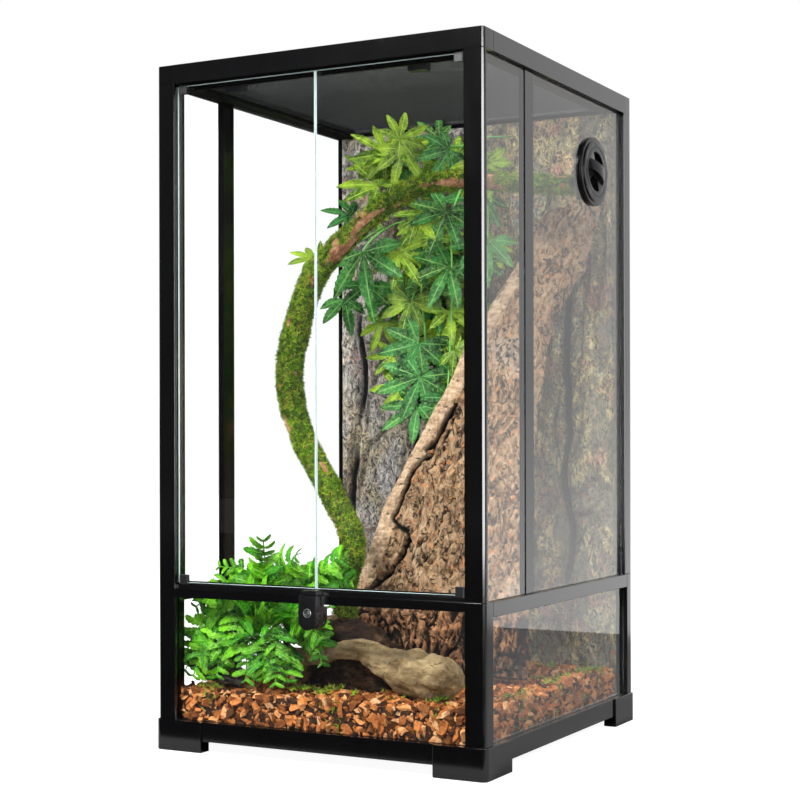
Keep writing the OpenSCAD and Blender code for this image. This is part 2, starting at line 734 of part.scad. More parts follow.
// Hangs leaves down a stem, left and right by turns, clear of the panel that the stem leaves
module leaves(points, first) for (i = [first : len(points) - 1], side = [-1, 1])
    translate(points[i]) rotate([0, 0, side * 50]) rotate([50 + 8 * (i % 2), 0, 0]) rotate(180) leaf(leaf_l);

module vine_plant() color([0.25, 0.55, 0.15]) {
    stem(main_stem);
    stem(side_stem);
    leaves(main_stem, 2);
    leaves(side_stem, 1);
}

fern_foot = inside(-0.6, 0.2, 0);
fern_hub_r = 8;
fern_hub_h = 16;
fronds = 12;

// One frond: a narrow blade that rises from the hub along X
module frond(l) translate([0, 0, -blade_t / 2]) linear_extrude(blade_t)
    polygon([[0, -1], [l * 0.35, -l * 0.08], [l, 0], [l * 0.35, l * 0.08], [0, 1]]);

module fern_plant() color([0.2, 0.6, 0.15]) translate(fern_foot) {
    cylinder(r = fern_hub_r, h = fern_hub_h);
    for (i = [0 : fronds - 1]) rotate([0, 0, i * 360 / fronds])
        translate([fern_hub_r - 2, 0, fern_hub_h - 4])
            rotate([0, -55 - 15 * (i % 3), 0]) frond(frond_l * (1 + 0.35 * (i % 3)));
}

// Route of the driftwood, left end first: u, v, the height above the bed in mm, and the radius
drift_route = [[-0.52, 0.14, 7.48, 11], [-0.4, 0.13, 33.66, 12], [-0.22, 0.13, 44.88, 12],
               [0.02, 0.13, 48.62, 13], [0.26, 0.13, 41.14, 16], [0.48, 0.13, 31.42, 20],
               [0.64, 0.13, 22.44, 22], [0.73, 0.13, 14.96, 16]];

module driftwood() color([0.66, 0.57, 0.4]) intersection() {
    tube([for (p = drift_route) inside(p[0], p[1], 0) + [0, 0, p[2]]], [for (p = drift_route) p[3]], 10,
         [0, 1, 0]);
    block([-hw, -hd, bed_z], [hw, hd, height]);
}

// Bark bedding: it fills the space between the rails, then between the panes and the posts
module substrate() color([0.45, 0.24, 0.14]) difference() {
    union() {
        block([-bed_half, -bed_half_y, base_z + glass + rest_gap], [bed_half, bed_half_y, foot_h + rest_gap]);
        block([-hw + glass_in + rest_gap, -hd + glass_in + rest_gap, foot_h + rest_gap],
              [hw - glass_in - rest_gap, hd - glass_in - rest_gap, bed_z]);
    }
    for (side = [0, 1]) on_side(side) {
        block([-hw, -hd, foot_h], [-post_x + rest_gap, -hd + front_post_side + rest_gap, bed_z + through]);
        block([-hw, hd - back_post_side - rest_gap, foot_h], [-post_x + rest_gap, hd, bed_z + through]);
    }
    block([-hw, panel_y - rest_gap, 0], [hw, hd, bed_z + through]);
}

// --- assembly --------------------------------------------------------------------------------------

foot(false, false);  // front_left_foot
foot(true, false);  // front_right_foot
foot(false, true);  // back_left_foot
foot(true, true);  // back_right_foot
front_bottom_rail();
back_bottom_rail();
side_bottom_rail(0);  // left_bottom_rail
side_bottom_rail(1);  // right_bottom_rail
base_pane();
lower_post(false, false);  // front_left_lower_post
lower_post(true, false);  // front_right_lower_post
lower_post(false, true);  // back_left_lower_post
lower_post(true, true);  // back_right_lower_post
front_lower_pane();
back_lower_pane();
side_lower_pane(0);  // left_lower_pane
side_lower_pane(1);  // right_lower_pane
front_mid_rail();
back_mid_rail();
side_mid_rail(0);  // left_mid_rail
side_mid_rail(1);  // right_mid_rail
upper_front_post(false);  // front_left_upper_post
upper_front_post(true);  // front_right_upper_post
upper_back_post(false);  // back_left_upper_post
upper_back_post(true);  // back_right_upper_post
divider(0);  // left_divider
divider(1);  // right_divider
side_front_pane(0);  // left_front_pane
side_front_pane(1);  // right_front_pane
left_rear_pane();
right_rear_pane();
back_upper_pane();
front_top_rail();
back_top_rail();
side_top_rail(0);  // left_top_rail
side_top_rail(1);  // right_top_rail
top_corner_blocks();
door_pane(0);  // left_door_pane
door_pane(1);  // right_door_pane
door_clips(0);  // left_door_clips
door_clips(1);  // right_door_clips
lock_housing();
lock_cylinder();
lock_bolt();
lock_inner_plate();
vent_flange();
vent_disc();
vent_nut();
screen_end_bars();
screen_side_bars();
screen_mesh();
screen_latch(-1);  // left_screen_latch
screen_latch(1);  // right_screen_latch
background_panel();
cork_slab();
moss_branch();
vine_plant();
fern_plant();
driftwood();
substrate();
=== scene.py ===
# %% [markdown]
# # A furnished reptile terrarium
#
# The real object is a tall glass box in a glossy black plastic frame. It has two glass doors, a key
# lock, a round vent and a screen top, and inside it a mossy branch leans over bark bedding.
#
# The CAD model gives every size and place. This script keeps that model as a fixed frame, gives each
# rigid piece moulded edges and a finish, and grows the natural pieces that CAD holds only as plain
# solids. Everything is in metres, with the origin on the floor under the middle of the cabinet.

# %% Load the CAD model
import math
import random

import bmesh
import bpy
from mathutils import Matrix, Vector, noise


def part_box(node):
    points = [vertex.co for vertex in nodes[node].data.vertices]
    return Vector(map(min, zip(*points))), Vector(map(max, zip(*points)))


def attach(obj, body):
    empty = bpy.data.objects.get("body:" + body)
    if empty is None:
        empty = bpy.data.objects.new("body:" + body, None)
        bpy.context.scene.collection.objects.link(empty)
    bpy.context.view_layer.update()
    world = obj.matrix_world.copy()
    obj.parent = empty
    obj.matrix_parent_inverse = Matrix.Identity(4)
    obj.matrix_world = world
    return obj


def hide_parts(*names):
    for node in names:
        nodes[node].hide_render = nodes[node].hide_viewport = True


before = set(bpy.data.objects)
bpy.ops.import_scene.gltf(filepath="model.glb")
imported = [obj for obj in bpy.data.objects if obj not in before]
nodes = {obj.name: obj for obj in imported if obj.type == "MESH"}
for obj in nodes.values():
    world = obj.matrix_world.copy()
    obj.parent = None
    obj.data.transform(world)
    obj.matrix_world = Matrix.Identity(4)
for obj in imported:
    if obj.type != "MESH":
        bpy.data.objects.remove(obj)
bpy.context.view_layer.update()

MM = 0.001

# %% [markdown]
# ## Shader and geometry graphs as Python
#
# A node graph is easier to read as a formula than as boxes and wires. `Wire` stands for one socket and
# turns `+`, `*` and their kin into Math nodes. `Graph` adds any other node: its settings come first,
# because they decide which sockets the node shows, and then each socket gets a value or a wire.

# %% Wire: a socket that can be used in a formula
class Wire:
    def __init__(self, graph, socket):
        self.graph, self.socket = graph, socket

    def maths(self, operation, other=None, swap=False):
        pair = [self] if other is None else [other, self] if swap else [self, other]
        return self.graph.node("ShaderNodeMath", {"operation": operation}, dict(enumerate(pair)))

    def __add__(self, other): return self.maths("ADD", other)
    def __sub__(self, other): return self.maths("SUBTRACT", other)
    def __mul__(self, other): return self.maths("MULTIPLY", other)
    def __truediv__(self, other): return self.maths("DIVIDE", other)
    def __pow__(self, other): return self.maths("POWER", other)
    def __gt__(self, other): return self.maths("GREATER_THAN", other)
    def __lt__(self, other): return self.maths("LESS_THAN", other)
    def __rsub__(self, other): return self.maths("SUBTRACT", other, swap=True)
    def __rtruediv__(self, other): return self.maths("DIVIDE", other, swap=True)
    def __abs__(self): return self.maths("ABSOLUTE")
    __radd__, __rmul__ = __add__, __mul__


# %% Graph: one method that adds any node
class Graph:
    def __init__(self, tree):
        self.tree = tree

    def feed(self, socket, value):
        if isinstance(value, Wire):
            self.tree.links.new(value.socket, socket)
        elif isinstance(value, tuple) and len(value) == 3 and socket.type == "RGBA":
            socket.default_value = (*value, 1)
        else:
            socket.default_value = value

    def socket(self, sockets, key):
        if isinstance(key, int):
            return sockets[key]
        return next(s for s in sockets if s.name == key and s.enabled)

    def node(self, kind, settings=None, inputs=None, output=0):
        made = self.tree.nodes.new(kind)
        for name, value in (settings or {}).items():
            if name == "stops":
                ramp = made.color_ramp
                while len(ramp.elements) < len(value):
                    ramp.elements.new(0.5)
                for element, (place, colour) in zip(ramp.elements, value):
                    element.position, element.color = place, (*colour, 1)
            else:
                setattr(made, name, value)
        for key, value in (inputs or {}).items():
            self.feed(self.socket(made.inputs, key), value)
        if output is None:
            return made
        return Wire(self, self.socket(made.outputs, output))

    def chance(self, low, high, seed):
        """A random number, or a random vector where low and high are tuples, for each element."""
        kind = "FLOAT_VECTOR" if isinstance(low, tuple) else "FLOAT"
        return self.node("FunctionNodeRandomValue", {"data_type": kind},
                         {"Min": low, "Max": high, "Seed": seed}, "Value")

    def turned(self, rotation, euler):
        """The rotation followed by a turn about its own axes."""
        turn = self.node("FunctionNodeEulerToRotation", {}, {"Euler": euler})
        return self.node("FunctionNodeRotateRotation", {"rotation_space": "LOCAL"},
                         {"Rotation": rotation, "Rotate By": turn})


# %% [markdown]
# ## Finishes
#
# Every finish is one Principled shader whose colour, roughness and bump come from patterns. The patterns
# read Object coordinates, and all pieces sit at the origin, so a pattern has its real size in metres.
# `Finish` holds the few patterns that come back again and again: noise, thin crooked lines, a soft step,
# a colour ramp, a mix and a bump.

# %% Finish: a material with its usual patterns
class Finish(Graph):
    def __init__(self, name):
        self.material = bpy.data.materials.new(name)
        self.material.use_nodes = True
        super().__init__(self.material.node_tree)
        self.shader = self.tree.nodes["Principled BSDF"]
        self.place = self.node("ShaderNodeTexCoord", output="Object")

    def stretched(self, x, y, z):
        return self.node("ShaderNodeMapping", {}, {"Vector": self.place, "Scale": (x, y, z)})

    def noise(self, scale, detail=3.0, rough=0.5, warp=0.0, at=None):
        return self.node("ShaderNodeTexNoise", {}, {"Vector": at or self.place, "Scale": scale,
                         "Detail": detail, "Roughness": rough, "Distortion": warp})

    def worms(self, scale, width, warp=1.0, at=None):
        """Thin crooked lines where a noise crosses its middle: 1 on a line, 0 away from it."""
        return 1 - self.step(abs(self.noise(scale, 2.0, 0.5, warp, at) - 0.5), 0.0, width)

    def step(self, wire, low, high):
        return self.node("ShaderNodeMapRange", {"interpolation_type": "SMOOTHSTEP"},
                         {"Value": wire, "From Min": low, "From Max": high}, "Result")

    def ramp(self, wire, *stops):
        return self.node("ShaderNodeValToRGB", {"stops": stops}, {0: wire})

    def mix(self, amount, first, second):
        return self.node("ShaderNodeMix", {"data_type": "RGBA"},
                         {"Factor": amount, "A": first, "B": second}, "Result")

    def stored(self, name):
        return self.node("ShaderNodeAttribute", {"attribute_name": name}, output="Fac")

    def bump(self, height, distance, strength=1.0):
        return self.node("ShaderNodeBump", {}, {"Height": height, "Distance": distance,
                                                "Strength": strength}, "Normal")

    def shade(self, **values):
        for name, value in values.items():
            self.feed(self.shader.inputs[name.replace("_", " ")], value)
        return self.material


# %% [markdown]
# ### Black plastics and metal
#
# The frame is glossy injection-moulded plastic. Its front looks almost black, and the side that mirrors
# the bright room looks grey, so the colour stays near black and the gloss does the rest. A faint
# waviness and small changes of gloss keep the long flat faces from looking like painted card.

# %% Glossy frame plastic and the satin fittings
def plastic(name, dark, rough, wave=0.00003, shine=0.5):
    f = Finish(name)
    cloud = f.noise(9.0, 3.0)
    grain = f.noise(900.0, 2.0)
    scuff = f.step(f.noise(60.0, 4.0, 0.65, at=f.stretched(1, 1, 0.2)), 0.5, 0.8)
    return f.shade(Base_Color=f.mix(cloud, dark, tuple(v * 1.6 for v in dark)),
                   Roughness=cloud * 0.05 + scuff * 0.05 + rough, Specular_IOR_Level=shine,
                   Normal=f.bump(grain * 0.35 + cloud, wave, 0.6))


black_gloss = plastic("frame_black_gloss", (0.0018, 0.0018, 0.002), 0.1)
black_satin = plastic("fitting_black_satin", (0.007, 0.007, 0.008), 0.34, 0.00008)
lock_black = plastic("lock_black_plastic", (0.0035, 0.0035, 0.004), 0.24, 0.00005)
vent_black = plastic("vent_black_plastic", (0.003, 0.003, 0.0033), 0.2, 0.00006, 0.22)
# a dull, low-gloss copy of the frame plastic for the top rails' undersides: painted shade that keeps
# them dark
shaded_underside_black = plastic("rail_black_underside", (0.003, 0.003, 0.0032), 0.4, 0.00006, 0.06)
print("black plastics:", black_gloss.name, black_satin.name, lock_black.name, vent_black.name)


# %% Key metal and screen wire
def key_metal():
    f = Finish("key_brushed_metal")
    lines = f.noise(160.0, 3.0, at=f.stretched(1, 1, 14))
    return f.shade(Base_Color=f.mix(lines, (0.62, 0.63, 0.66), (0.8, 0.81, 0.83)), Metallic=1.0,
                   Roughness=lines * 0.14 + 0.26, Normal=f.bump(lines, 0.00004, 0.4))


def screen_wire():
    f = Finish("screen_coated_wire")
    patch = f.noise(30.0, 4.0)
    return f.shade(Base_Color=f.mix(patch, (0.007, 0.0075, 0.008), (0.016, 0.0165, 0.017)),
                   Roughness=patch * 0.2 + 0.32, Specular_IOR_Level=0.12,
                   Normal=f.bump(f.noise(2500.0), 0.00002, 0.5))


metal, wire_coat = key_metal(), screen_wire()
print("metal and wire:", metal.name, wire_coat.name)

# %% [markdown]
# ### Glass
#
# A pane is a real slab of clear glass, so it bends light a little and mirrors more at a low angle. Its
# ground edges scatter light and look pale teal. The panes let light pass instead of casting shadows,
# which is what thin clear glass does, and keeps the inside bright.

# %% Clear faces and ground edges
def clear_glass():
    f = Finish("clear_float_glass")
    film = f.noise(5.0, 2.0)
    return f.shade(Base_Color=f.mix(film, (0.975, 0.99, 0.985), (0.985, 0.995, 0.99)), IOR=1.5,
                   Roughness=0.0, Transmission_Weight=1.0)


def ground_edge():
    f = Finish("ground_glass_edge")
    chips = f.noise(700.0, 3.0, 0.6, at=f.stretched(1, 1, 0.25))
    return f.shade(Base_Color=f.mix(chips, (0.42, 0.62, 0.6), (0.82, 0.93, 0.92)), IOR=1.5,
                   Roughness=chips * 0.2 + 0.2, Normal=f.bump(chips, 0.0002, 0.5))


glass, glass_edge = clear_glass(), ground_edge()
print("glass:", glass.name, glass_edge.name)

# %% [markdown]
# ## Moulded copies of the rigid pieces
#
# CAD edges are perfectly sharp, and real plastic never is: a rounded edge catches a thin line of light,
# which is how the eye reads a moulded part. A copy of each CAD mesh is merged into whole faces, and its
# edges are bevelled by half a millimetre. Curved walls are shaded smooth and flat faces stay flat.

# %% Helpers that make objects
def place(name, data):
    """An object with this data, put into the scene at the origin."""
    made = bpy.data.objects.new(name, data)
    bpy.context.scene.collection.objects.link(made)
    return made


def show(name, mesh, material, body, slot, *replaced):
    """A finished piece: it rides on a body, takes the given material and may stand for CAD nodes. slot
    is not used.
    """
    if material and not mesh.materials:
        mesh.materials.append(material)
    made = place(name, mesh)
    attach(made, body)
    if replaced:
        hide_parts(*replaced)
    return made


def smooth_below(mesh, degrees):
    """Smooth shading, kept sharp where faces meet at more than this angle."""
    mesh.polygons.foreach_set("use_smooth", [True] * len(mesh.polygons))
    mesh.set_sharp_from_angle(angle=math.radians(degrees))


def keep(bm, mesh, outwards=True):
    """Writes a bmesh into a mesh, with its faces turned outwards."""
    if outwards:
        bmesh.ops.recalc_face_normals(bm, faces=bm.faces)
    bm.to_mesh(mesh)
    bm.free()
    return mesh


def moulded(node, edge, material, body, slot, steps=2, corner=0.0, set_back=0.0):
    """A copy of a CAD node with whole faces and rounded edges. corner rounds the cabinet's own four
    upright corners, and set_back draws in the outer faces of a side piece."""
    mesh = bpy.data.meshes.new(node + "_moulded")
    bm = bmesh.new()
    bm.from_mesh(nodes[node].data)
    bmesh.ops.remove_doubles(bm, verts=bm.verts, dist=1e-5)
    bmesh.ops.dissolve_limit(bm, angle_limit=math.radians(1.0), verts=bm.verts, edges=bm.edges)
    if set_back:
        outer = max(abs(v.co.x) for v in bm.verts)
        for v in bm.verts:
            if outer - abs(v.co.x) < 1e-4:
                v.co.x -= math.copysign(set_back, v.co.x)
    if corner:
        reach = max(abs(v.co.x) for v in bm.verts)
        upright = [e for e in bm.edges if abs(e.verts[0].co.z - e.verts[1].co.z) > 0.005 and
                   all(min(abs(v.co.x), abs(v.co.y)) > reach - 1e-4 for v in e.verts)]
        bmesh.ops.bevel(bm, geom=upright, offset=corner, segments=8, profile=0.5, affect="EDGES")
    sharp = [e for e in bm.edges if len(e.link_faces) == 2 and e.calc_face_angle() > math.radians(35)]
    bmesh.ops.bevel(bm, geom=sharp, offset=edge, segments=steps, profile=0.5, affect="EDGES",
                    clamp_overlap=True)
    smooth_below(keep(bm, mesh, outwards=False), 21)
    return show(node + "_moulded", mesh, material, body, slot, node)


# %% Frame bars, feet and posts
FRAME_EDGE, POST_CORNER, DIVIDER_SET_BACK = 0.5 * MM, 4.6 * MM, 4.5 * MM
frame_bars = [n for n in nodes if n.endswith(("_foot", "_rail", "_post", "_divider"))]
frame_bars.append("top_corner_blocks")
for name in frame_bars:
    moulded(name, FRAME_EDGE, black_gloss, "cabinet", "black_frame",
            corner=POST_CORNER if name.endswith(("_post", "_foot", "_blocks")) else 0.0,
            set_back=DIVIDER_SET_BACK if name.endswith("_divider") else 0.0)
# The top rails' downward faces take that dull copy as painted shade, so their undersides stay dark.
for name in ("front", "back", "left", "right"):      # the undersides that only the inside sees
    mesh = bpy.data.objects[name + "_top_rail_moulded"].data
    mesh.materials.append(shaded_underside_black)
    for face in mesh.polygons:
        if face.normal.z < -0.9:
            face.material_index = 1
print(len(frame_bars), "frame pieces moulded")

# %% Door clips, screen bars, latches, lock and vent
for side in ("left", "right"):
    moulded(f"{side}_door_clips", 0.4 * MM, black_satin, f"{side}_door", "black_fittings")
    moulded(f"{side}_screen_latch", 0.6 * MM, black_satin, f"{side}_latch", "black_fittings")
for name in ("screen_end_bars", "screen_side_bars"):
    moulded(name, 0.8 * MM, black_satin, "screen_top", "black_fittings")
for name, edge, material, body, steps in (
        ("lock_housing", 0.8, lock_black, "cabinet", 3),
        ("lock_inner_plate", 0.5, lock_black, "cabinet", 2),
        ("lock_bolt", 0.4, lock_black, "bolt", 2),
        ("vent_flange", 0.8, vent_black, "cabinet", 3),
        ("vent_nut", 0.6, vent_black, "cabinet", 2),
        ("vent_disc", 0.9, vent_black, "vent_knob", 3)):
    moulded(name, edge * MM, material, body, name.split("_")[0] + "_black", steps)
print("fittings moulded")

# %% [markdown]
# ### The key barrel
#
# The barrel is turned metal: a bright rim stands round a black face with a keyway across it. A lathe
# makes the turned part from its outline, and a small plate is the keyway.

# %% Key barrel
KEYWAY_LEAN, BARREL_TURNS = math.radians(38), 48
BARREL_OUTLINE = [(1.0, None), (1.0, 0.8), (0.93, 0), (0.78, 0), (0.74, 0.7), (0.5, 0.7), (0.46, 0.3),
                  (0.36, 0.3), (0.33, 0.9)]      # share of the radius, and mm behind the front face


def key_barrel():
    low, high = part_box("lock_cylinder")
    middle, radius = Vector(((low.x + high.x) / 2, 0, (low.z + high.z) / 2)), (high.x - low.x) / 2
    bm = bmesh.new()
    rows = []
    for share, behind in BARREL_OUTLINE:
        y = high.y if behind is None else low.y + behind * MM
        rows.append([bm.verts.new(middle + Vector((math.cos(a) * radius * share, y,
                                                   math.sin(a) * radius * share)))
                     for a in (2 * math.pi * k / BARREL_TURNS for k in range(BARREL_TURNS))])
    for i in range(len(rows) - 1):
        for k in range(BARREL_TURNS):
            m = (k + 1) % BARREL_TURNS
            face = bm.faces.new((rows[i][k], rows[i][m], rows[i + 1][m], rows[i + 1][k]))
            face.material_index = 1 if i in (4, 7) else 0
    bm.faces.new(rows[0])
    bm.faces.new(rows[-1]).material_index = 1
    along = Vector((math.cos(KEYWAY_LEAN), 0, math.sin(KEYWAY_LEAN)))
    across = Vector((-along.z, 0, along.x))
    plate = [[bm.verts.new(middle + along * a * radius + across * b * radius + Vector((0, y, 0)))
              for a, b in ((-0.62, -0.1), (0.62, -0.1), (0.62, 0.1), (-0.62, 0.1))]
             for y in (low.y + 0.9 * MM, low.y + 0.2 * MM)]
    bm.faces.new(plate[0])
    bm.faces.new(plate[1])
    for k in range(4):
        m = (k + 1) % 4
        bm.faces.new((plate[0][k], plate[0][m], plate[1][m], plate[1][k]))
    mesh = keep(bm, bpy.data.meshes.new("key_barrel"))
    for material in (metal, lock_black):
        mesh.materials.append(material)
    smooth_below(mesh, 30)
    return mesh


barrel = show("key_barrel", key_barrel(), None, "lock_barrel", "key_metal", "lock_cylinder")
print("key barrel:", len(barrel.data.polygons), "faces")

# %% [markdown]
# ## Panes
#
# Each pane is a copy of its CAD slab with a small ground bevel. Faces that look along the pane's thin
# direction are clear, and all others take the ground edge.

# %% Panes with ground edges
GROUND_BEVEL = 0.35 * MM


def pane(node, body):
    low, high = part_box(node)
    thin = min(range(3), key=lambda i: high[i] - low[i])
    made = moulded(node, GROUND_BEVEL, glass, body, "clear_glass", 1)
    mesh = made.data
    mesh.materials.append(glass_edge)
    for face in mesh.polygons:
        face.use_smooth = False
        face.material_index = 0 if abs(face.normal[thin]) > 0.99 else 1
    made.visible_shadow = made.visible_diffuse = False
    return made


panes = [n for n in nodes if n.endswith("_pane")]
for name in panes:
    pane(name, {"left_door_pane": "left_door", "right_door_pane": "right_door"}.get(name, "cabinet"))
print(len(panes), "panes:", ", ".join(panes))

# %% [markdown]
# ## Fine screen
#
# The CAD net is coarse, because a real one has hundreds of wires. Here Geometry Nodes lay the real
# net: one thin wire is repeated along a row of points, once for each direction, and the two layers
# lie on each other. A modifier's inputs are set by their identifiers before it is first evaluated.

# %% Helpers that build and run a geometry tree
def geometry_tree(name, inputs):
    """A new tree with a Geometry input and one number input for each name."""
    tree = bpy.data.node_groups.new(name, "GeometryNodeTree")
    tree.interface.new_socket("Geometry", in_out="INPUT", socket_type="NodeSocketGeometry")
    for key, kind in inputs.items():
        tree.interface.new_socket(key, in_out="INPUT", socket_type="NodeSocket" + kind)
    tree.interface.new_socket("Geometry", in_out="OUTPUT", socket_type="NodeSocketGeometry")
    graph = Graph(tree)
    start = graph.node("NodeGroupInput", output=None)
    return graph, {s.name: Wire(graph, s) for s in start.outputs if s.name}


def finish_tree(graph, geometry, material):
    real = graph.node("GeometryNodeRealizeInstances", {}, {"Geometry": geometry})
    coated = graph.node("GeometryNodeSetMaterial", {}, {"Geometry": real, "Material": material})
    graph.node("NodeGroupOutput", {}, {"Geometry": coated}, output=None)
    return graph.tree


def grow(tree, base, name, **values):
    """Runs the tree on a base mesh and returns the result as a plain mesh."""
    carrier = place(name, base)
    modifier = carrier.modifiers.new("grow", "NODES")
    modifier.node_group = tree
    for item in tree.interface.items_tree:
        if item.item_type == "SOCKET" and item.in_out == "INPUT" and item.name in values:
            modifier[item.identifier] = values[item.name]
    depsgraph = bpy.context.evaluated_depsgraph_get()
    mesh = bpy.data.meshes.new_from_object(carrier.evaluated_get(depsgraph), depsgraph=depsgraph)
    mesh.name = name
    carrier.modifiers.clear()
    bpy.data.objects.remove(carrier)
    print(name, "grown:", len(mesh.polygons), "faces")
    return mesh


# %% Screen wires
def screen_tree():
    g, a = geometry_tree("screen_wires", {"Width": "Float", "Depth": "Float", "Height": "Float",
                                          "Pitch": "Float", "Wire": "Float"})
    layers = g.node("GeometryNodeJoinGeometry", output=None)
    for axis, (run, span) in enumerate((("Depth", "Width"), ("Width", "Depth"))):
        count = (a[span] / a["Pitch"]).maths("FLOOR")
        first = a["Pitch"] * count * -0.5
        level = a["Height"] + a["Wire"] * (0.5 - axis)
        start = g.node("ShaderNodeCombineXYZ", {}, {"X": 0.0, "Y": first, "Z": level} if axis
                       else {"X": first, "Y": 0.0, "Z": level})
        offset = g.node("ShaderNodeCombineXYZ", {}, {"Y" if axis else "X": a["Pitch"]})
        row = g.node("GeometryNodeMeshLine", {"mode": "OFFSET"},
                     {"Count": count + 1, "Start Location": start, "Offset": offset}, "Mesh")
        size = {"X": a[run], "Y": a["Wire"], "Z": a["Wire"]} if axis else \
               {"X": a["Wire"], "Y": a[run], "Z": a["Wire"]}
        strand = g.node("GeometryNodeMeshCube", {}, {"Size": g.node("ShaderNodeCombineXYZ", {}, size)},
                        "Mesh")
        laid = g.node("GeometryNodeInstanceOnPoints", {}, {"Points": row, "Instance": strand})
        g.tree.links.new(laid.socket, layers.inputs[0])
    return finish_tree(g, Wire(g, layers.outputs[0]), wire_coat)


WIRE_PITCH, WIRE_SIZE = 1.55 * MM, 0.3 * MM
net_low, net_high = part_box("screen_mesh")
net = grow(screen_tree(), bpy.data.meshes.new("none"), "screen_wires",
           Width=net_high.x - net_low.x, Depth=net_high.y - net_low.y,
           Height=(net_low.z + net_high.z) / 2, Pitch=WIRE_PITCH, Wire=WIRE_SIZE)
show("screen_wires", net, None, "screen_top", "screen_wire", "screen_mesh")

# %% [markdown]
# ## Surfaces from rows of points
#
# Bark, cork, moulded rock and wood all start the same way: rows of points, each pushed in or out by
# noise, joined into a skin. A tube closes on itself and at its ends. A sheet gets walls and a back, so
# that it is a closed solid. Numbers that the finish needs, such as how deep a point lies, are stored
# with the points.

# %% Skins
def skin(rows, wrap=False):
    """Joins rows of points of equal length. wrap joins each row's last point to its first."""
    wide = len(rows[0])
    faces = []
    for i in range(len(rows) - 1):
        for j in range(wide if wrap else wide - 1):
            k = (j + 1) % wide
            faces.append((i * wide + j, i * wide + k, (i + 1) * wide + k, (i + 1) * wide + j))
    return [p for row in rows for p in row], faces


def with_numbers(name, points, faces, stored):
    """A mesh from points and faces, with numbers stored on its points."""
    mesh = bpy.data.meshes.new(name)
    mesh.from_pydata([tuple(p) for p in points], [], faces)
    for key, values in stored.items():
        layer = mesh.attributes.new(key, "FLOAT", "POINT")
        layer.data.foreach_set("value", list(values) + [0.0] * (len(points) - len(values)))
    return mesh


def solid(name, points, faces, stored=None, smooth=60):
    """A closed mesh whose faces look outwards."""
    mesh = with_numbers(name, points, faces, stored or {})
    bm = bmesh.new()
    bm.from_mesh(mesh)
    smooth_below(keep(bm, mesh), smooth)
    return mesh


def backed(name, rows, moves, stored):
    """A sheet closed by walls: each move takes the rim one step further back."""
    points, faces = skin(rows)
    wide, long = len(rows[0]), len(rows)
    rim = (list(range(wide)) + [i * wide + wide - 1 for i in range(1, long)]
           + [(long - 1) * wide + j for j in range(wide - 2, -1, -1)]
           + [i * wide for i in range(long - 2, 0, -1)])
    for move in moves:
        start = len(points)
        points += [move(points[i]) for i in rim]
        new = list(range(start, start + len(rim)))
        for a in range(len(rim)):
            b = (a + 1) % len(rim)
            faces.append((rim[b], rim[a], new[a], new[b]))
        rim = new
    faces.append(tuple(rim))
    return solid(name, points, faces, stored)


def tube(rows):
    """Closes a skin of rings with a point at each end."""
    points, faces = skin(rows, wrap=True)
    wide = len(rows[0])
    for ring, start in ((rows[0], 0), (rows[-1], len(points) - wide)):
        middle = sum((Vector(p) for p in ring), Vector()) / wide
        points.append(middle)
        tip = len(points) - 1
        faces += [(start + j, start + (j + 1) % wide, tip) for j in range(wide)]
    return points, faces


def joined(parts):
    """Several parts of points, faces and numbers as one part."""
    whole = [[] for _ in parts[0]]
    for points, faces, *numbers in parts:
        start = len(whole[0])
        whole[0] += points
        whole[1] += [tuple(start + v for v in face) for face in faces]
        for all_numbers, own in zip(whole[2:], numbers):
            all_numbers += own
    return whole


# %% Smooth routes and rings round them
def in_metres(points):
    return [[v * MM for v in p] for p in points]


def spline(points, steps):
    """A Catmull-Rom curve through points of any length of numbers."""
    ends = [points[0]] + list(points) + [points[-1]]
    out = []
    for i in range(1, len(ends) - 2):
        p = ends[i - 1:i + 3]
        for s in range(steps):
            t = s / steps
            out.append([0.5 * (2 * b + (c - a) * t + (2 * a - 5 * b + 4 * c - d) * t * t
                        + (3 * b - a - 3 * c + d) * t ** 3) for a, b, c, d in zip(*p)])
    out.append(list(points[-1]))
    return out


def rings(route, sides, reach, up=(0, 1, 0)):
    """Rings of points round a route. reach(i, angle, radius) gives each point's distance."""
    out = []
    for i, here in enumerate(route):
        a, b = route[max(i - 1, 0)], route[min(i + 1, len(route) - 1)]
        along = (Vector(b[:3]) - Vector(a[:3])).normalized()
        side = along.cross(Vector(up)).normalized()
        top = side.cross(along)
        ring = []
        for k in range(sides):
            angle = 2 * math.pi * k / sides
            r = reach(i, angle, here[3])
            ring.append(Vector(here[:3]) + (side * math.cos(angle) + top * math.sin(angle)) * r)
        out.append(ring)
    return out


def soft(value, low, high):
    t = min(max((value - low) / (high - low), 0.0), 1.0)
    return t * t * (3 - 2 * t)


def rough(x, y, z, octaves=4):
    return noise.fractal(Vector((x, y, z)), 1.0, 2.0, octaves)


print("helpers for skins, tubes and routes are ready")

# %% [markdown]
# ## Background panel
#
# The panel is moulded foam in the shape of old bark: boulders stretched upright, deep clefts
# between them, and worm-like ridges that a dry brush has painted ochre and dusty red. A formula gives
# the depth at each point, and how far each point is from a cleft, stored on the points, steers the
# painted shade that blackens the clefts.

# %% Relief of the panel
clefts = [(-0.178, 0.40, 0.60), (-0.196, 0.20, 0.40), (0.064, 0.20, 0.43), (0.146, 0.16, 0.62),
          (0.02, 0.45, 0.83), (-0.085, 0.08, 0.83), (0.165, 0.60, 0.83), (0.118, 0.50, 0.66)]


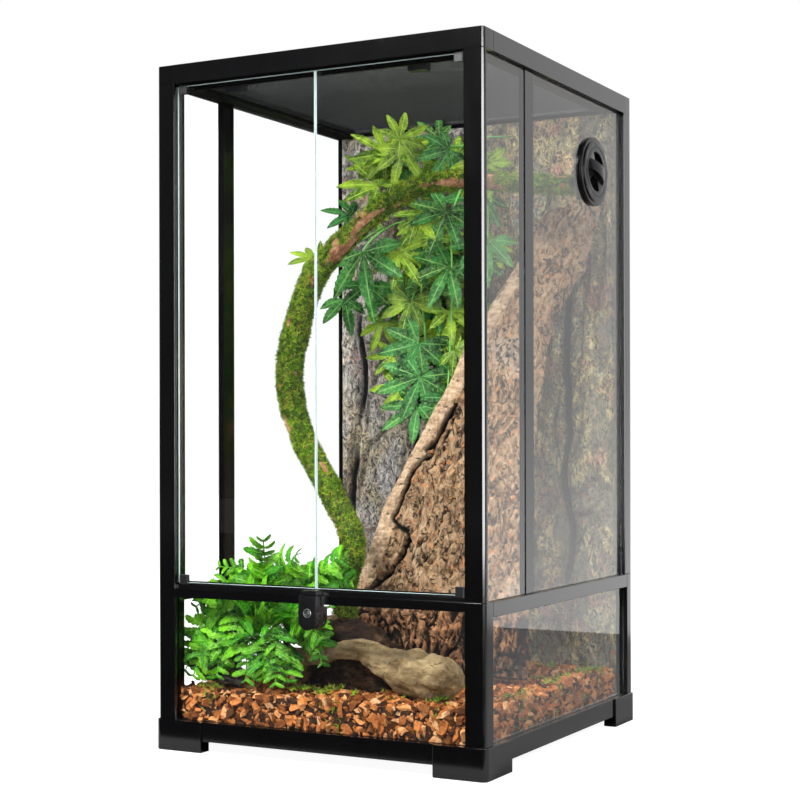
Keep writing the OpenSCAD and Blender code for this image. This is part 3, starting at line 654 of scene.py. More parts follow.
def panel_relief(x, z):
    """Depth towards the viewer in mm, and how far a point is from the clefts, 0 to 1."""
    bend = rough(x * 7, 1.7, z * 3.0, 3)
    near = noise.voronoi(Vector((x * 15 + bend * 0.9, z * 4.2 + bend * 1.2, 4.0)))[0]
    cleft = (1 - soft(near[1] - near[0], 0.0, 0.11)) * 0.5
    for cx, low, high in clefts:
        wander = cx + 0.012 * rough(cx * 50, z * 8, 0.3, 3)
        inside = soft(z, low - 0.03, low + 0.05) * (1 - soft(z, high - 0.05, high + 0.03))
        cleft = max(cleft, inside * (1 - soft(abs(x - wander), 0.002, 0.011)))
    lump = rough(x * 13 + bend, 5.0, z * 6.5, 4)
    flake = rough(x * 55 + bend * 2, 7.0, z * 26, 3)
    depth = 2.5 + lump * 4.5 + flake * 2.6 - cleft * 12.0 + (near[0] - 0.5) * -4.0
    return depth, cleft


panel_low, panel_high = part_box("background_panel")
post_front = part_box("back_right_upper_post")[0]
print("panel", [round(v, 4) for v in panel_low], [round(v, 4) for v in panel_high],
      "post from", round(post_front.y, 4))

# %% Panel mesh
PANEL_STEP, PANEL_TOP = 2.9 * MM, 0.8354
panel_cols = int((panel_high.x - panel_low.x) / PANEL_STEP)
panel_rows = int((panel_high.z - panel_low.z) / PANEL_STEP)
rows, depth_of = [], []
for i in range(panel_rows + 1):
    z = panel_low.z + (PANEL_TOP - panel_low.z) * i / panel_rows
    row = []
    for j in range(panel_cols + 1):
        x = panel_low.x + (panel_high.x - panel_low.x) * j / panel_cols
        depth, cleft = panel_relief(x, z)
        rim = min(soft(x, panel_low.x, panel_low.x + 0.006), soft(panel_high.x - x, 0, 0.006),
                  soft(PANEL_TOP - z, 0, 0.008))
        depth = depth * rim - 6 * (1 - rim)
        row.append((x, panel_low.y - min(depth, 7.5) * MM, z))
        depth_of.append(1 - cleft)
    rows.append(row)
shoulder = post_front.y - 0.5 * MM
notch = post_front.x - 0.5 * MM
panel_mesh = backed("background_panel_relief", rows, [
    lambda p: (p[0], shoulder, p[2]),
    lambda p: (max(-notch, min(notch, p[0])), shoulder, p[2]),
    lambda p: (p[0], panel_high.y, p[2])], {"open": depth_of})
print("panel:", len(panel_mesh.polygons), "faces")


# %% [markdown]
# The foam is moulded dark and then dry-brushed. The brush touches only the raised ridges, which is why
# the paint follows them, cream on the left of the panel and ochre on the right. The clefts are painted
# near black: the dark foam, and painted shade in the deep clefts.

# %% Painted foam finish
def painted_foam():
    f = Finish("painted_foam_bark")
    tall = f.stretched(1, 1, 0.6)
    east = f.step(f.node("ShaderNodeSeparateXYZ", {}, {"Vector": f.place}, "X")
                  + f.noise(9.0) * 0.16 - 0.08, -0.03, 0.05)
    wide, thin = f.worms(80.0, 0.085, 2.0, tall), f.worms(150.0, 0.09, 1.6, tall)
    flake = f.noise(150.0, 5.0, 0.75, 0.8, tall)
    region, other = f.noise(11.0, 3.0, at=tall), f.noise(17.0, 3.0, 0.6, 0.5)
    ridge = (wide + thin * 0.6).maths("MINIMUM", 1.0) * 0.8 + f.step(flake, 0.48, 0.6) * 0.45
    patchy = f.step(f.noise(28.0, 3.0, 0.6, 0.8, tall), 0.42, 0.56)
    ridge = ridge.maths("MINIMUM", 1.0) * (1 - (1 - patchy) * (0.35 + east * 0.45))
    ground = f.mix(east, f.ramp(flake, (0.36, (0.02, 0.02, 0.024)), (0.5, (0.16, 0.15, 0.15)),
                                (0.62, (0.5, 0.47, 0.44))),
                   f.ramp(flake, (0.36, (0.012, 0.018, 0.018)), (0.62, (0.15, 0.15, 0.125))))
    cream = f.ramp(region, (0.36, (0.76, 0.64, 0.6)), (0.46, (0.88, 0.84, 0.75)),
                   (0.56, (0.8, 0.66, 0.42)), (0.66, (0.78, 0.74, 0.7)))
    ochre = f.ramp(other, (0.38, (0.72, 0.36, 0.24)), (0.47, (0.78, 0.6, 0.26)),
                   (0.56, (0.9, 0.76, 0.38)), (0.68, (0.5, 0.53, 0.42)))
    colour = f.mix(ridge, ground, f.mix(east, cream, ochre))
    red = f.worms(42.0, 0.03, 2.0, tall) * f.step(other, 0.52, 0.6)
    colour = f.mix(red * 0.6, colour, (0.62, 0.24, 0.15))
    # painted shade: the clefts, read from the stored open number, turn near black
    colour = f.mix(f.step(f.stored("open"), 0.0, 0.5), (0.008, 0.008, 0.009), colour)
    return f.shade(Base_Color=colour, Roughness=0.74 - ridge * 0.14, Specular_IOR_Level=0.2,
                   Normal=f.bump(ridge + flake * 0.9, 0.005, 1.0))


show("background_panel_relief", panel_mesh, painted_foam(), "cabinet", "foam_bark", "background_panel")

# %% [markdown]
# ## Cork slab
#
# The slab is a length of raw cork bark that leans on the panel. Its left edge curls into a smooth
# rolled band with ring cracks, a deep crevice runs beside the band, and the rest is pitted. It is
# built in its own flat coordinates, x across and h up the slope, and then tilted.

# %% Where the slab lies
SLAB_TILT, SLAB_THICK, SLAB_FOOT = math.radians(16.7), 20.0, (-5.65, 80.0)
slab_left = [(-64, -46), (-77, 70), (-86, 109), (-60, 222), (-21, 320), (14, 398), (30, 449),
             (66, 523), (103, 593), (131, 655), (150, 670)]
slab_right = [(184, -46), (165, 117), (150, 234), (146, 375), (152, 488), (188, 558), (203, 648),
              (198, 668)]
crevice = [[(32, 365), (23, 347), (16, 328), (10, 314), (-4, 303)], [(6, 294), (-6, 290), (-20, 272),
            (-27, 246), (-36, 216), (-41, 205), (-32, 196), (-15, 188), (-10, 176), (-17, 155),
            (-29, 134), (-50, 115), (-70, 96)]]


def edge_at(line, h):
    for (x0, h0), (x1, h1) in zip(line, line[1:]):
        if h <= h1:
            return x0 + (x1 - x0) * (h - h0) / (h1 - h0)
    return line[-1][0]


def on_slab(x, h, d):
    """A point of the slab in metres: x across, h up the slope, d out from its back face, in mm."""
    s, c = math.sin(SLAB_TILT), math.cos(SLAB_TILT)
    return (x * MM, (SLAB_FOOT[0] + h * s - d * c) * MM, (SLAB_FOOT[1] + h * c + d * s) * MM)


def crevice_distance(x, h):
    best = 99.0
    for line in crevice:
        for (x0, h0), (x1, h1) in zip(line, line[1:]):
            dx, dh = x1 - x0, h1 - h0
            t = min(max(((x - x0) * dx + (h - h0) * dh) / (dx * dx + dh * dh), 0), 1)
            best = min(best, math.hypot(x - x0 - t * dx, h - h0 - t * dh))
    return best


# %% Relief of the slab
def slab_relief(x, h):
    """Depth in mm, and three masks: band, crack and low bark."""
    left = edge_at(slab_left, h)
    bend = rough(x / 60, h / 60, 2.0, 3)
    low = 1 - soft(h + 14 * bend, 70, 104)
    edge_w = 27 + 3 * rough(h / 40, 1.0, 6.0, 2)
    band = (1 - soft(x - left, edge_w - 5, edge_w + 4)) * soft(h, 100, 130) * (1 - soft(h, 560, 640))
    roll = math.sin(min(max((x - left) / edge_w, 0), 1) * math.pi) ** 0.6
    ring = abs(math.sin((h + 7 * bend + x * 0.25) * math.pi / 41))
    ring_crack = (1 - soft(ring, 0.0, 0.085)) * band
    zone = soft(h, 96, 110) * (1 - soft(h, 175, 225)) * (1 - soft(x - left, 60, 78))
    lines = (1 - soft(abs(math.sin((h + 5 * bend + x * 0.4) * math.pi / 9)), 0.0, 0.3)) * zone
    near = noise.voronoi(Vector((x / 17 + bend * 0.8, h / 26 + bend, 1.0)))[0]
    pit = (1 - soft(near[0], 0.05, 0.24)) * (1 - band)
    flow = 1 - abs(noise.noise(Vector((x / 11 + bend * 1.5, h / 30, 5.0)))) * 2.6
    chunk = noise.voronoi(Vector((x / 11 + bend * 0.6, h / 34 + bend, 8.0)))[0]
    fissure = (1 - soft(chunk[1] - chunk[0], 0.0, 0.22)) * low
    lump = rough(x / 34, h / 46, 0.0, 4)
    small = rough(x / 7, h / 9, 3.0, 3)
    width = 3.6 + 3.6 * soft(h, 305, 325) * (1 - soft(h, 352, 372)) + 1.6 * rough(h / 15, 0.0, 1.0, 2)
    gash = (1 - soft(crevice_distance(x, h), width * 0.45, width)) * (1 - low)
    scale = x / 21 - h / 95 + bend * 1.5 + 0.35 * rough(x / 25, h / 25, 9.0, 3)
    scale -= math.floor(scale)
    ledge = (scale - soft(scale, 0.86, 1.0)) * (1 - band) * (1 - low * 0.5)
    depth = SLAB_THICK - 4.0 + lump * 4.5 * (1 - band * 0.7) + small * (3.0 - band * 2.5) + ledge * 4.0
    depth += band * (roll * 6.5 - 2.0) + max(flow, 0) * 1.6 * (1 - band)
    depth += low * (2.0 + chunk[0] * 5.0) - fissure * 8.0
    depth -= pit * 4.4 + ring_crack * 2.2 + gash * 16.0 + lines * 1.6
    crack = max(gash, fissure * 0.9, pit * 0.8, ring_crack * 0.7, lines * 0.6)
    return depth, band, crack, low


# %% Slab mesh
SLAB_ROWS, SLAB_COLS, SLAB_TOP = 236, 92, 668.0
rows, bands, cracks, lows = [], [], [], []
for i in range(SLAB_ROWS + 1):
    h = 2.0 + (SLAB_TOP - 2.0) * i / SLAB_ROWS
    ragged = 5.0 * rough(h / 22, 0.0, 4.0, 3)
    left, right = edge_at(slab_left, h) + ragged * 0.4, edge_at(slab_right, h) + ragged
    row = []
    for j in range(SLAB_COLS + 1):
        x = left + (right - left) * (j / SLAB_COLS)
        depth, band, crack, low = slab_relief(x, h)
        rim = min(soft(x - left, -1, 5), soft(right - x, -1, 9),
                  soft(SLAB_TOP + 6 * rough(x / 9, 0, 0) - h, -1, 12))
        depth = 3.5 + (max(depth, 4.0) - 3.5) * rim
        top_dip = 16 * soft(h, 640, 668) * (1 - soft(x, 140, 190))
        row.append(on_slab(x, h - top_dip, depth))
        bands.append(band)
        cracks.append(crack)
        lows.append(low)
    rows.append(row)


def to_back(p):
    """The same point moved along the slab's thickness to its back face."""
    s, c = math.sin(SLAB_TILT), math.cos(SLAB_TILT)
    y, z = p[1] / MM - SLAB_FOOT[0], p[2] / MM - SLAB_FOOT[1]
    depth = z * s - y * c - 1.0
    return (p[0], p[1] + depth * c * MM, p[2] - depth * s * MM)


slab_mesh = backed("cork_slab_bark", rows, [to_back], {"band": bands, "crack": cracks, "low": lows})
print("slab:", len(slab_mesh.polygons), "faces")

# %% [markdown]
# Raw cork is grey to ochre with rust flecks and pin holes. Its lower end is darker and redder, the
# rolled band is smooth and light, and every crack is painted nearly black: the cork's own dark inside,
# and painted shade in the deep cracks. The numbers stored with the points say which of these a place is.

# %% Cork finish
def raw_cork():
    f = Finish("raw_cork_bark")
    band, crack, low = f.stored("band"), f.stored("crack"), f.stored("low")
    tall = f.stretched(1, 0.8, 0.55)
    cloud = f.noise(14.0, 4.0, 0.6)
    grain = f.noise(120.0, 5.0, 0.72, 0.7, tall)
    fine = f.noise(320.0, 3.0, 0.7, 0.3, tall)
    mixed = grain * 0.62 + fine * 0.2 + cloud * 0.18
    body = f.ramp(mixed, (0.38, (0.03, 0.017, 0.009)), (0.45, (0.15, 0.088, 0.045)),
                  (0.5, (0.3, 0.19, 0.105)), (0.56, (0.4, 0.27, 0.155)), (0.66, (0.55, 0.41, 0.27)))
    body = f.mix(f.step(cloud, 0.56, 0.68) * 0.4, body, (0.27, 0.25, 0.22))
    bark = f.ramp(f.noise(60.0, 4.0, 0.6, 0.2, f.stretched(1, 1, 3)) * 0.6 + fine * 0.4,
                  (0.35, (0.17, 0.11, 0.065)), (0.5, (0.42, 0.29, 0.18)), (0.62, (0.58, 0.44, 0.3)))
    colour = f.mix(band, body, bark)
    fleck = f.step(f.noise(130.0, 3.0, 0.55, 0.6), 0.58, 0.65) * (1 - band * 0.85)
    colour = f.mix(fleck * 0.75, colour, (0.52, 0.2, 0.07))
    # the low bark: darker and redder towards the slab's foot
    foot_colour = f.ramp(grain * 0.6 + cloud * 0.4, (0.38, (0.014, 0.008, 0.005)), (0.47, (0.12, 0.055, 0.026)),
                 (0.56, (0.42, 0.19, 0.08)), (0.66, (0.5, 0.31, 0.17)))
    colour = f.mix(low * 0.85, colour, foot_colour)
    seam = f.worms(26.0, 0.018, 1.6, f.stretched(1.3, 1, 0.5)) * (1 - band * 0.9)
    hole = f.step(f.noise(110.0, 2.0, 0.5, 0.3), 0.63, 0.68) * (1 - band * 0.7)
    colour = f.mix((seam + hole).maths("MINIMUM", 1.0) * 0.9, colour, (0.014, 0.008, 0.006))
    # painted shade: every crack, from the stored crack number, turns nearly black
    colour = f.mix(f.step(crack, 0.1, 0.7), colour, (0.006, 0.004, 0.003))
    return f.shade(Base_Color=colour, Roughness=0.86 - band * 0.12, Specular_IOR_Level=0.15,
                   Normal=f.bump(grain * (1.2 - band) + fine * 0.4 - seam - hole * 0.6, 0.005, 1.0))


show("cork_slab_bark", slab_mesh, raw_cork(), "cabinet", "cork", "cork_slab")

# %% [markdown]
# ## Mossy branch
#
# A bare branch carries the moss: a tube swept along a smooth route, with knots from noise. Geometry
# Nodes then scatter thousands of small tufts over it. A number stored on the bark says where moss
# grows, so patches of orange-brown bark stay bare, and each tuft gets its own random tone.

# %% Branch route and bark
branch_points = [(-66, -44, 80, 15), (-66, -44, 130, 15), (-66, -44, 196, 14), (-56, -41, 256, 14),
                 (-98, -29, 319, 15), (-151, -13, 392, 15), (-176, -6, 458, 17), (-174, 0, 525, 17),
                 (-150, 10, 607, 16), (-105, 20, 660, 14), (-30, 41, 720, 13), (51, 60, 738, 12),
                 (148, 76, 727, 12), (199, 90, 723, 11)]
branch_route = spline(in_metres(branch_points), 13)


def bare_bark(i, angle):
    """1 where the bark is bare, along the underside and in patches near the top."""
    share = i / (len(branch_route) - 1)
    patch = rough(share * 26, math.cos(angle) * 0.9, math.sin(angle) * 0.9, 3)
    want = 0.5 - 0.5 * soft(share, 0.6, 0.75) * (1 - soft(share, 0.97, 1.0))
    return soft(patch, want, want + 0.16)


def branch_reach(i, angle, radius):
    c, s = math.cos(angle), math.sin(angle)
    return radius * (1 + 0.13 * rough(i * 0.16, c, s, 3) + 0.05 * rough(i * 0.6, c * 3, s * 3, 2))


BRANCH_SIDES = 28
branch_rings = rings(branch_route, BRANCH_SIDES, branch_reach)
moss_cover = [1 - bare_bark(i, 2 * math.pi * k / BRANCH_SIDES)
              for i in range(len(branch_route)) for k in range(BRANCH_SIDES)]
points, faces = tube(branch_rings)
branch_mesh = solid("moss_branch_bark", points, faces, {"cover": moss_cover})
print("branch:", len(branch_route), "rings,", len(faces), "faces")


# %% Bark of the branch
def branch_bark():
    f = Finish("branch_bark")
    cover = f.stored("cover")
    fibre = f.noise(140.0, 4.0, 0.6, 0.6)
    cloud = f.noise(30.0, 3.0)
    bark = f.ramp(fibre * 0.6 + cloud * 0.4, (0.32, (0.08, 0.035, 0.016)), (0.48, (0.26, 0.12, 0.055)),
                  (0.6, (0.46, 0.25, 0.14)), (0.72, (0.7, 0.52, 0.38)))
    moss = f.ramp(fibre, (0.35, (0.02, 0.035, 0.006)), (0.6, (0.09, 0.13, 0.02)))
    return f.shade(Base_Color=f.mix(f.step(cover, 0.3, 0.7), bark, moss), Roughness=0.88,
                   Specular_IOR_Level=0.15, Normal=f.bump(fibre + cloud * 0.4, 0.0022, 0.9))


show("moss_branch_bark", branch_mesh, branch_bark(), "cabinet", "moss", "moss_branch")

# %% [markdown]
# Moss sold for terrariums is dried, dyed and glued on in tufts. A tuft here is four small spikes that
# fan out from one point, and the scatter tree turns, leans and scales each copy by chance.

# %% A tuft of moss
def spikes(name, count, length, width, spread, seed):
    """Small closed three-sided spikes that fan out from one point along Z."""
    rnd = random.Random(seed)
    points, faces = [], []
    for k in range(count):
        turn = 2 * math.pi * (k + rnd.random() * 0.6) / count
        lean = spread * (0.35 + 0.65 * rnd.random())
        reach = length * (0.65 + 0.5 * rnd.random())
        tip = Vector((math.sin(lean) * math.cos(turn), math.sin(lean) * math.sin(turn),
                      math.cos(lean))) * reach
        start = len(points)
        base = tip * 0.12
        for m in range(3):
            a = turn + 2 * math.pi * m / 3
            points.append(base + Vector((math.cos(a), math.sin(a), 0)) * width * 0.5)
        points.append(tip)
        faces += [(start, start + 1, start + 3), (start + 1, start + 2, start + 3),
                  (start + 2, start, start + 3), (start + 2, start + 1, start)]
    return solid(name, points, faces, smooth=30)


tuft = bpy.data.objects.new("moss_tuft_source", spikes(
    "moss_tuft_source", count=4, length=6.2 * MM, width=1.5 * MM, spread=1.2, seed=3))
print("tuft:", len(tuft.data.polygons), "faces")


# %% Scattering tree, used for moss on the branch and on the bedding
def number_on(g, name):
    """The number of this name that is stored on the geometry."""
    return g.node("GeometryNodeInputNamedAttribute", {"data_type": "FLOAT"}, {"Name": name}, "Attribute")


def spots_on(g, mesh, density, seed):
    """Random places on a mesh's faces, and the rotation that stands upright on each."""
    scatter = g.node("GeometryNodeDistributePointsOnFaces", {"distribute_method": "RANDOM"},
                     {"Mesh": mesh, "Density": density, "Seed": seed}, None)
    return Wire(g, scatter.outputs["Points"]), Wire(g, scatter.outputs["Rotation"])


def toned(g, laid, seed):
    """The laid copies, each with a random tone that the finish reads."""
    return g.node("GeometryNodeStoreNamedAttribute", {"data_type": "FLOAT", "domain": "INSTANCE"},
                  {"Geometry": laid, "Name": "tone", "Value": g.chance(0.0, 1.0, seed)})


def scatter_tree(name, source, material, cover, tilt):
    """Scatters copies of source over the input's faces where the stored number cover is high."""
    g, a = geometry_tree(name, {"Density": "Float", "Seed": "Int", "Smallest": "Float",
                                "Largest": "Float"})
    spots, facing = spots_on(g, a["Geometry"], a["Density"] * number_on(g, cover), a["Seed"])
    lean = g.chance((-tilt, -tilt, 0.0), (tilt, tilt, 6.283), a["Seed"])
    size = g.chance(a["Smallest"], a["Largest"], a["Seed"] + 1)
    shape = g.node("GeometryNodeObjectInfo", {}, {"Object": source}, "Geometry")
    laid = g.node("GeometryNodeInstanceOnPoints", {}, {"Points": spots, "Instance": shape,
                  "Rotation": g.turned(facing, lean), "Scale": size})
    return finish_tree(g, toned(g, laid, a["Seed"] + 2), material)


# %% Moss finish and the moss on the branch
def moss_green():
    f = Finish("dried_moss")
    tone = f.stored("tone")
    cloud = f.noise(22.0, 3.0)
    fine = f.noise(600.0, 2.0)
    shade = tone * 0.55 + cloud * 0.45
    colour = f.ramp(shade, (0.22, (0.014, 0.03, 0.003)), (0.38, (0.05, 0.13, 0.005)),
                    (0.52, (0.14, 0.29, 0.008)), (0.68, (0.3, 0.4, 0.025)), (0.84, (0.3, 0.15, 0.035)))
    return f.shade(Base_Color=f.mix(fine * 0.3, colour, (0.1, 0.16, 0.02)), Roughness=0.8,
                   Specular_IOR_Level=0.15, Normal=f.bump(fine, 0.0003, 0.5))


moss = moss_green()
branch_moss = grow(scatter_tree("moss_scatter", tuft, moss, "cover", 0.5), branch_mesh.copy(),
                   "moss_branch_tufts", Density=88000.0, Seed=5, Smallest=0.7, Largest=1.45)
show("moss_branch_tufts", branch_moss, None, "cabinet", "moss")

# %% [markdown]
# ## Vine
#
# The vine is an artificial plant. Each leaf is a hand of five to seven narrow leaflets with saw-tooth
# edges and a pale rib. One function builds a leaf from its place, its direction as the front shows
# it, its size and its hue, and a list sets them one by one, because the eye follows each leaf.

# %% Leaves of the vine, in mm: x, y, z, direction in degrees, length, leaflets, blueness
vine_leaves = [
    (-108, 150, 794, -20, 48, 7, 0.25), (-70, 120, 798, 150, 56, 7, 0.15),
    (-58, 90, 806, 60, 46, 7, 0.2), (-121, 140, 752, -35, 66, 7, 0.2),
    (-154, 120, 709, 285, 45, 5, 0.9), (-60, 90, 649, 150, 58, 7, 0.2),
    (-108, 75, 650, 165, 88, 5, 0.85), (-115, 95, 605, 180, 62, 5, 0.8),
    (-58, 120, 583, 195, 56, 7, 0.35), (9, 110, 627, 205, 66, 7, 0.75),
    (0, 125, 567, 180, 48, 5, 0.3), (-182, 60, 643, 268, 40, 4, 0.25),
    (-170, 60, 638, 0, 32, 3, 0.3), (10, 100, 702, 205, 64, 7, 0.8),
    (-39, 110, 522, 215, 68, 7, 0.85), (-34, 105, 475, 205, 72, 7, 0.9),
    (-36, 100, 436, 205, 60, 6, 0.85), (-94, 135, 507, 272, 40, 5, 0.2),
    (-77, 130, 461, 270, 50, 5, 0.15), (-1, 130, 792, 235, 52, 6, 0.85),
    (-51, 150, 774, 120, 44, 6, 0.3), (-35, 140, 673, 160, 46, 6, 0.3),
    (-27, 85, 694, 150, 46, 5, 0.15), (3, 110, 446, 165, 52, 6, 0.9),
    (12, 120, 512, 120, 46, 6, 0.35), (-35, 165, 818, 290, 44, 6, 0.7),
    (-122, 130, 709, 200, 40, 5, 0.35), (-160, 110, 588, 190, 60, 4, 0.8),
    (-107, 130, 556, 200, 48, 5, 0.3), (-44, 150, 607, 140, 46, 6, 0.6),
    (65, 110, 661, 200, 62, 6, 0.85), (40, 130, 634, 170, 48, 5, 0.7),
    (-154, 160, 783, 300, 36, 5, 0.3), (2, 150, 759, 200, 40, 5, 0.6),
    (-84, 160, 746, 100, 40, 5, 0.7)]
LEAFLET_STATIONS = 18


def leaflet(base, out, face, length, width, droop, tone):
    """One saw-toothed leaflet, folded a little along its rib. Returns points, faces and numbers."""
    across = face.cross(out).normalized()
    points, faces, ribs, tones = [], [], [], []
    for i in range(LEAFLET_STATIONS + 1):
        t = i / LEAFLET_STATIONS
        half = width * math.sin(math.pi * t ** 1.18) ** 0.9 if 0 < t < 1 else 0.0
        half = half * (1.1 if i % 2 else 0.88) + 0.0005
        centre = base + out * length * t - face * droop * length * t * t
        for s in (-1, -0.5, 0, 0.5, 1):
            points.append(centre + across * s * half + face * abs(s) * half * 0.3)
            ribs.append(1 - abs(s))
            tones.append(tone)
    for i in range(LEAFLET_STATIONS):
        for j in range(4):
            a = i * 5 + j
            faces.append((a, a + 1, a + 6, a + 5))
    return points, faces, ribs, tones


# %% One leaf and the whole foliage
def hand_leaf(rnd, foot, degrees, size, count, hue):
    """All leaflets of one leaf."""
    turn = math.radians(degrees)
    right = Vector((0.893, 0.451, 0.0))
    facing = Vector((0.42, -0.84, 0.34))
    facing += Vector((rnd.uniform(-0.4, 0.4), rnd.uniform(-0.2, 0.2), rnd.uniform(-0.3, 0.5)))
    facing.normalize()
    main = right * math.sin(turn) + Vector((0, 0, 1)) * math.cos(turn)
    main = (main - facing * main.dot(facing)).normalized()
    side = facing.cross(main)
    spread = {7: 2.15, 6: 1.9, 5: 1.6, 4: 1.1, 3: 0.8}[count]
    parts = []
    for k in range(count):
        share = -1 + 2 * k / (count - 1)
        angle = share * spread + rnd.uniform(-0.08, 0.08)
        out = main * math.cos(angle) + side * math.sin(angle)
        length = size * MM * (1 - 0.36 * abs(share) ** 1.6) * rnd.uniform(0.9, 1.08)
        tone = min(max(hue + rnd.uniform(-0.1, 0.1), 0), 1)
        parts.append(leaflet(Vector(foot) * MM, out, facing, length, size * MM * 0.125,
                             rnd.uniform(0.0, 0.3), tone))
    return joined(parts)


def thick(name, points, faces, stored, amount, material):
    """A thin sheet made solid by a Solidify modifier, which is then baked in."""
    carrier = place(name, with_numbers(name, points, faces, stored))
    wall = carrier.modifiers.new("wall", "SOLIDIFY")
    wall.thickness, wall.offset = amount, 0.0
    depsgraph = bpy.context.evaluated_depsgraph_get()
    out = bpy.data.meshes.new_from_object(carrier.evaluated_get(depsgraph),
                                          preserve_all_data_layers=True, depsgraph=depsgraph)
    bpy.data.objects.remove(carrier)
    out.name = name
    out.materials.append(material)
    smooth_below(out, 50)
    return out


# %% Leaf finish
def leaf_finish(name, young, old, pale, gloss):
    """Each of young, old and pale is a pair of colours, dark and light."""
    f = Finish(name)
    rib, tone = f.stored("rib"), f.stored("tone")
    cloud = f.noise(38.0, 3.0, 0.6)
    veins = f.noise(240.0, 3.0, 0.65, 0.5)
    mottle = f.step(veins, 0.42, 0.66)
    shades = [f.mix(f.step(cloud, 0.36, 0.64), *pair) for pair in (young, old)]
    light = f.mix(tone, *pale)
    colour = f.mix(mottle * 0.42, f.mix(f.step(tone, 0.3, 0.7), *shades), light)
    colour = f.mix(f.step(rib, 0.84, 0.97) * 0.75, colour, light)
    return f.shade(Base_Color=colour, Roughness=0.12 * veins + gloss, Specular_IOR_Level=0.3,
                   Normal=f.bump(mottle * 0.7 + rib, 0.0012, 0.9))


vine_green = leaf_finish(
    "vine_leaf_cloth", young=((0.035, 0.11, 0.003), (0.26, 0.43, 0.014)),
    old=((0.003, 0.04, 0.006), (0.018, 0.18, 0.025)), pale=((0.55, 0.74, 0.08), (0.15, 0.42, 0.12)),
    gloss=0.3)
rnd = random.Random(11)
for k in range(34):
    z = rnd.uniform(455, 800)
    x = rnd.uniform(-120, 45) if z > 560 else rnd.uniform(-40, 40)
    vine_leaves.append((x, rnd.uniform(150, 176), z, rnd.uniform(60, 300), rnd.uniform(44, 62), 7,
                        rnd.choice((0.1, 0.3, 0.75, 0.9))))
points, faces, ribs, tones = joined([hand_leaf(rnd, leaf[:3], *leaf[3:]) for leaf in vine_leaves])
vine_mesh = thick("vine_leaves", points, faces, {"rib": ribs, "tone": tones}, 0.5 * MM, vine_green)
show("vine_leaves", vine_mesh, None, "cabinet", "vine_leaf", "vine_plant")
print("vine:", len(vine_leaves), "leaves,", len(vine_mesh.polygons), "faces")

# %% Stems of the vine
vine_stem_routes = [
    [(60, 188, 813), (60, 170, 812), (10, 150, 800), (-31, 140, 700), (-48, 135, 610),
     (-40, 130, 540), (-35, 125, 470), (-36, 118, 430)],
    [(10, 150, 800), (-40, 152, 800), (-80, 150, 790), (-110, 148, 790), (-140, 150, 770)],
    [(-48, 135, 700), (-80, 110, 690), (-108, 78, 655), (-114, 92, 610)],
    [(-60, 140, 600), (-90, 140, 520), (-80, 134, 465)],
    [(20, 150, 760), (14, 110, 700), (12, 112, 620), (4, 122, 520), (4, 114, 450)],
    [(-100, 120, 690), (-140, 90, 660), (-180, 62, 644)],
    [(30, 150, 780), (60, 120, 700), (62, 114, 660)]]
STEM_RADIUS = 1.5
stem_parts = []
for line in vine_stem_routes:
    route = spline(in_metres([(*p, STEM_RADIUS) for p in line]), 6)
    stem_parts.append(tube(rings(route, 6, lambda i, angle, radius: radius, up=(0.4, 0.9, 0.1))))
points, faces = joined(stem_parts)


def stem_green():
    f = Finish("vine_stem_plastic")
    cloud = f.noise(60.0, 3.0)
    return f.shade(Base_Color=f.mix(cloud, (0.08, 0.34, 0.04), (0.2, 0.52, 0.1)),
                   Roughness=cloud * 0.1 + 0.3, Normal=f.bump(f.noise(500.0), 0.0003, 0.4))


show("vine_stems", solid("vine_stems", points, faces), stem_green(), "cabinet", "vine_leaf")
print("stems:", len(vine_stem_routes), "runs,", len(faces), "faces")

# %% [markdown]
# ## Fern
#
# A fern is a rule made visible: fronds arch out of one foot, and each carries pairs of wavy pinnae
# that are short at the foot and the tip and long between. Geometry Nodes follow that rule. The input
# mesh is only a set of lines, one for each frond, and the tree sets the pinnae along them.

# %% Lines of the fronds
FERN_FOOT = (-122, -160, 86)
fern_fronds = [      # knee, crown and tip of each frond, in mm
    [(-140, -172, 150), (-172, -190, 176), (-212, -198, 116)],
    [(-134, -166, 150), (-178, -186, 158), (-212, -196, 96)],
    [(-104, -178, 148), (-78, -194, 156), (-70, -204, 90)],
    [(-120, -152, 170), (-116, -158, 222), (-106, -176, 262)],
    [(-104, -124, 170), (-78, -104, 214), (-36, -94, 240)],
    [(-86, -158, 160), (-48, -176, 168), (-16, -186, 146)],
    [(-92, -150, 140), (-52, -152, 152), (-28, -164, 112)],
    [(-134, -184, 140), (-150, -199, 140), (-156, -206, 94)],
    [(-118, -186, 138), (-112, -203, 132), (-112, -206, 92)],
    [(-104, -180, 134), (-92, -200, 136), (-86, -206, 96)],
    [(-140, -152, 180), (-168, -164, 206), (-204, -184, 176)],
    [(-128, -146, 190), (-146, -142, 218), (-184, -160, 226)],
    [(-112, -134, 180), (-104, -130, 224), (-80, -142, 240)],
    [(-98, -118, 170), (-74, -88, 214), (-40, -74, 206)],
    [(-144, -182, 134), (-172, -200, 138), (-192, -206, 92)],
    [(-96, -170, 128), (-76, -184, 128), (-60, -192, 92)],
    [(-126, -170, 160), (-134, -186, 196), (-150, -200, 190)],
    [(-112, -160, 160), (-96, -176, 196), (-70, -190, 190)],
    [(-128, -160, 150), (-160, -176, 132), (-178, -196, 110)],
    [(-108, -140, 160), (-70, -130, 186), (-42, -130, 176)],
    [(-118, -170, 150), (-124, -196, 168), (-132, -206, 128)],
    [(-136, -150, 160), (-176, -150, 190), (-206, -160, 156)]]
STATIONS = 5
fern_points, fern_edges, fern_along = [], [], []
for frond in fern_fronds:
    route = spline([FERN_FOOT] + frond, STATIONS)
    start = len(fern_points)
    fern_points += in_metres(route)
    for i in range(len(route)):
        fern_along.append(i / (len(route) - 1))
        if i:
            fern_edges.append((start + i - 1, start + i))
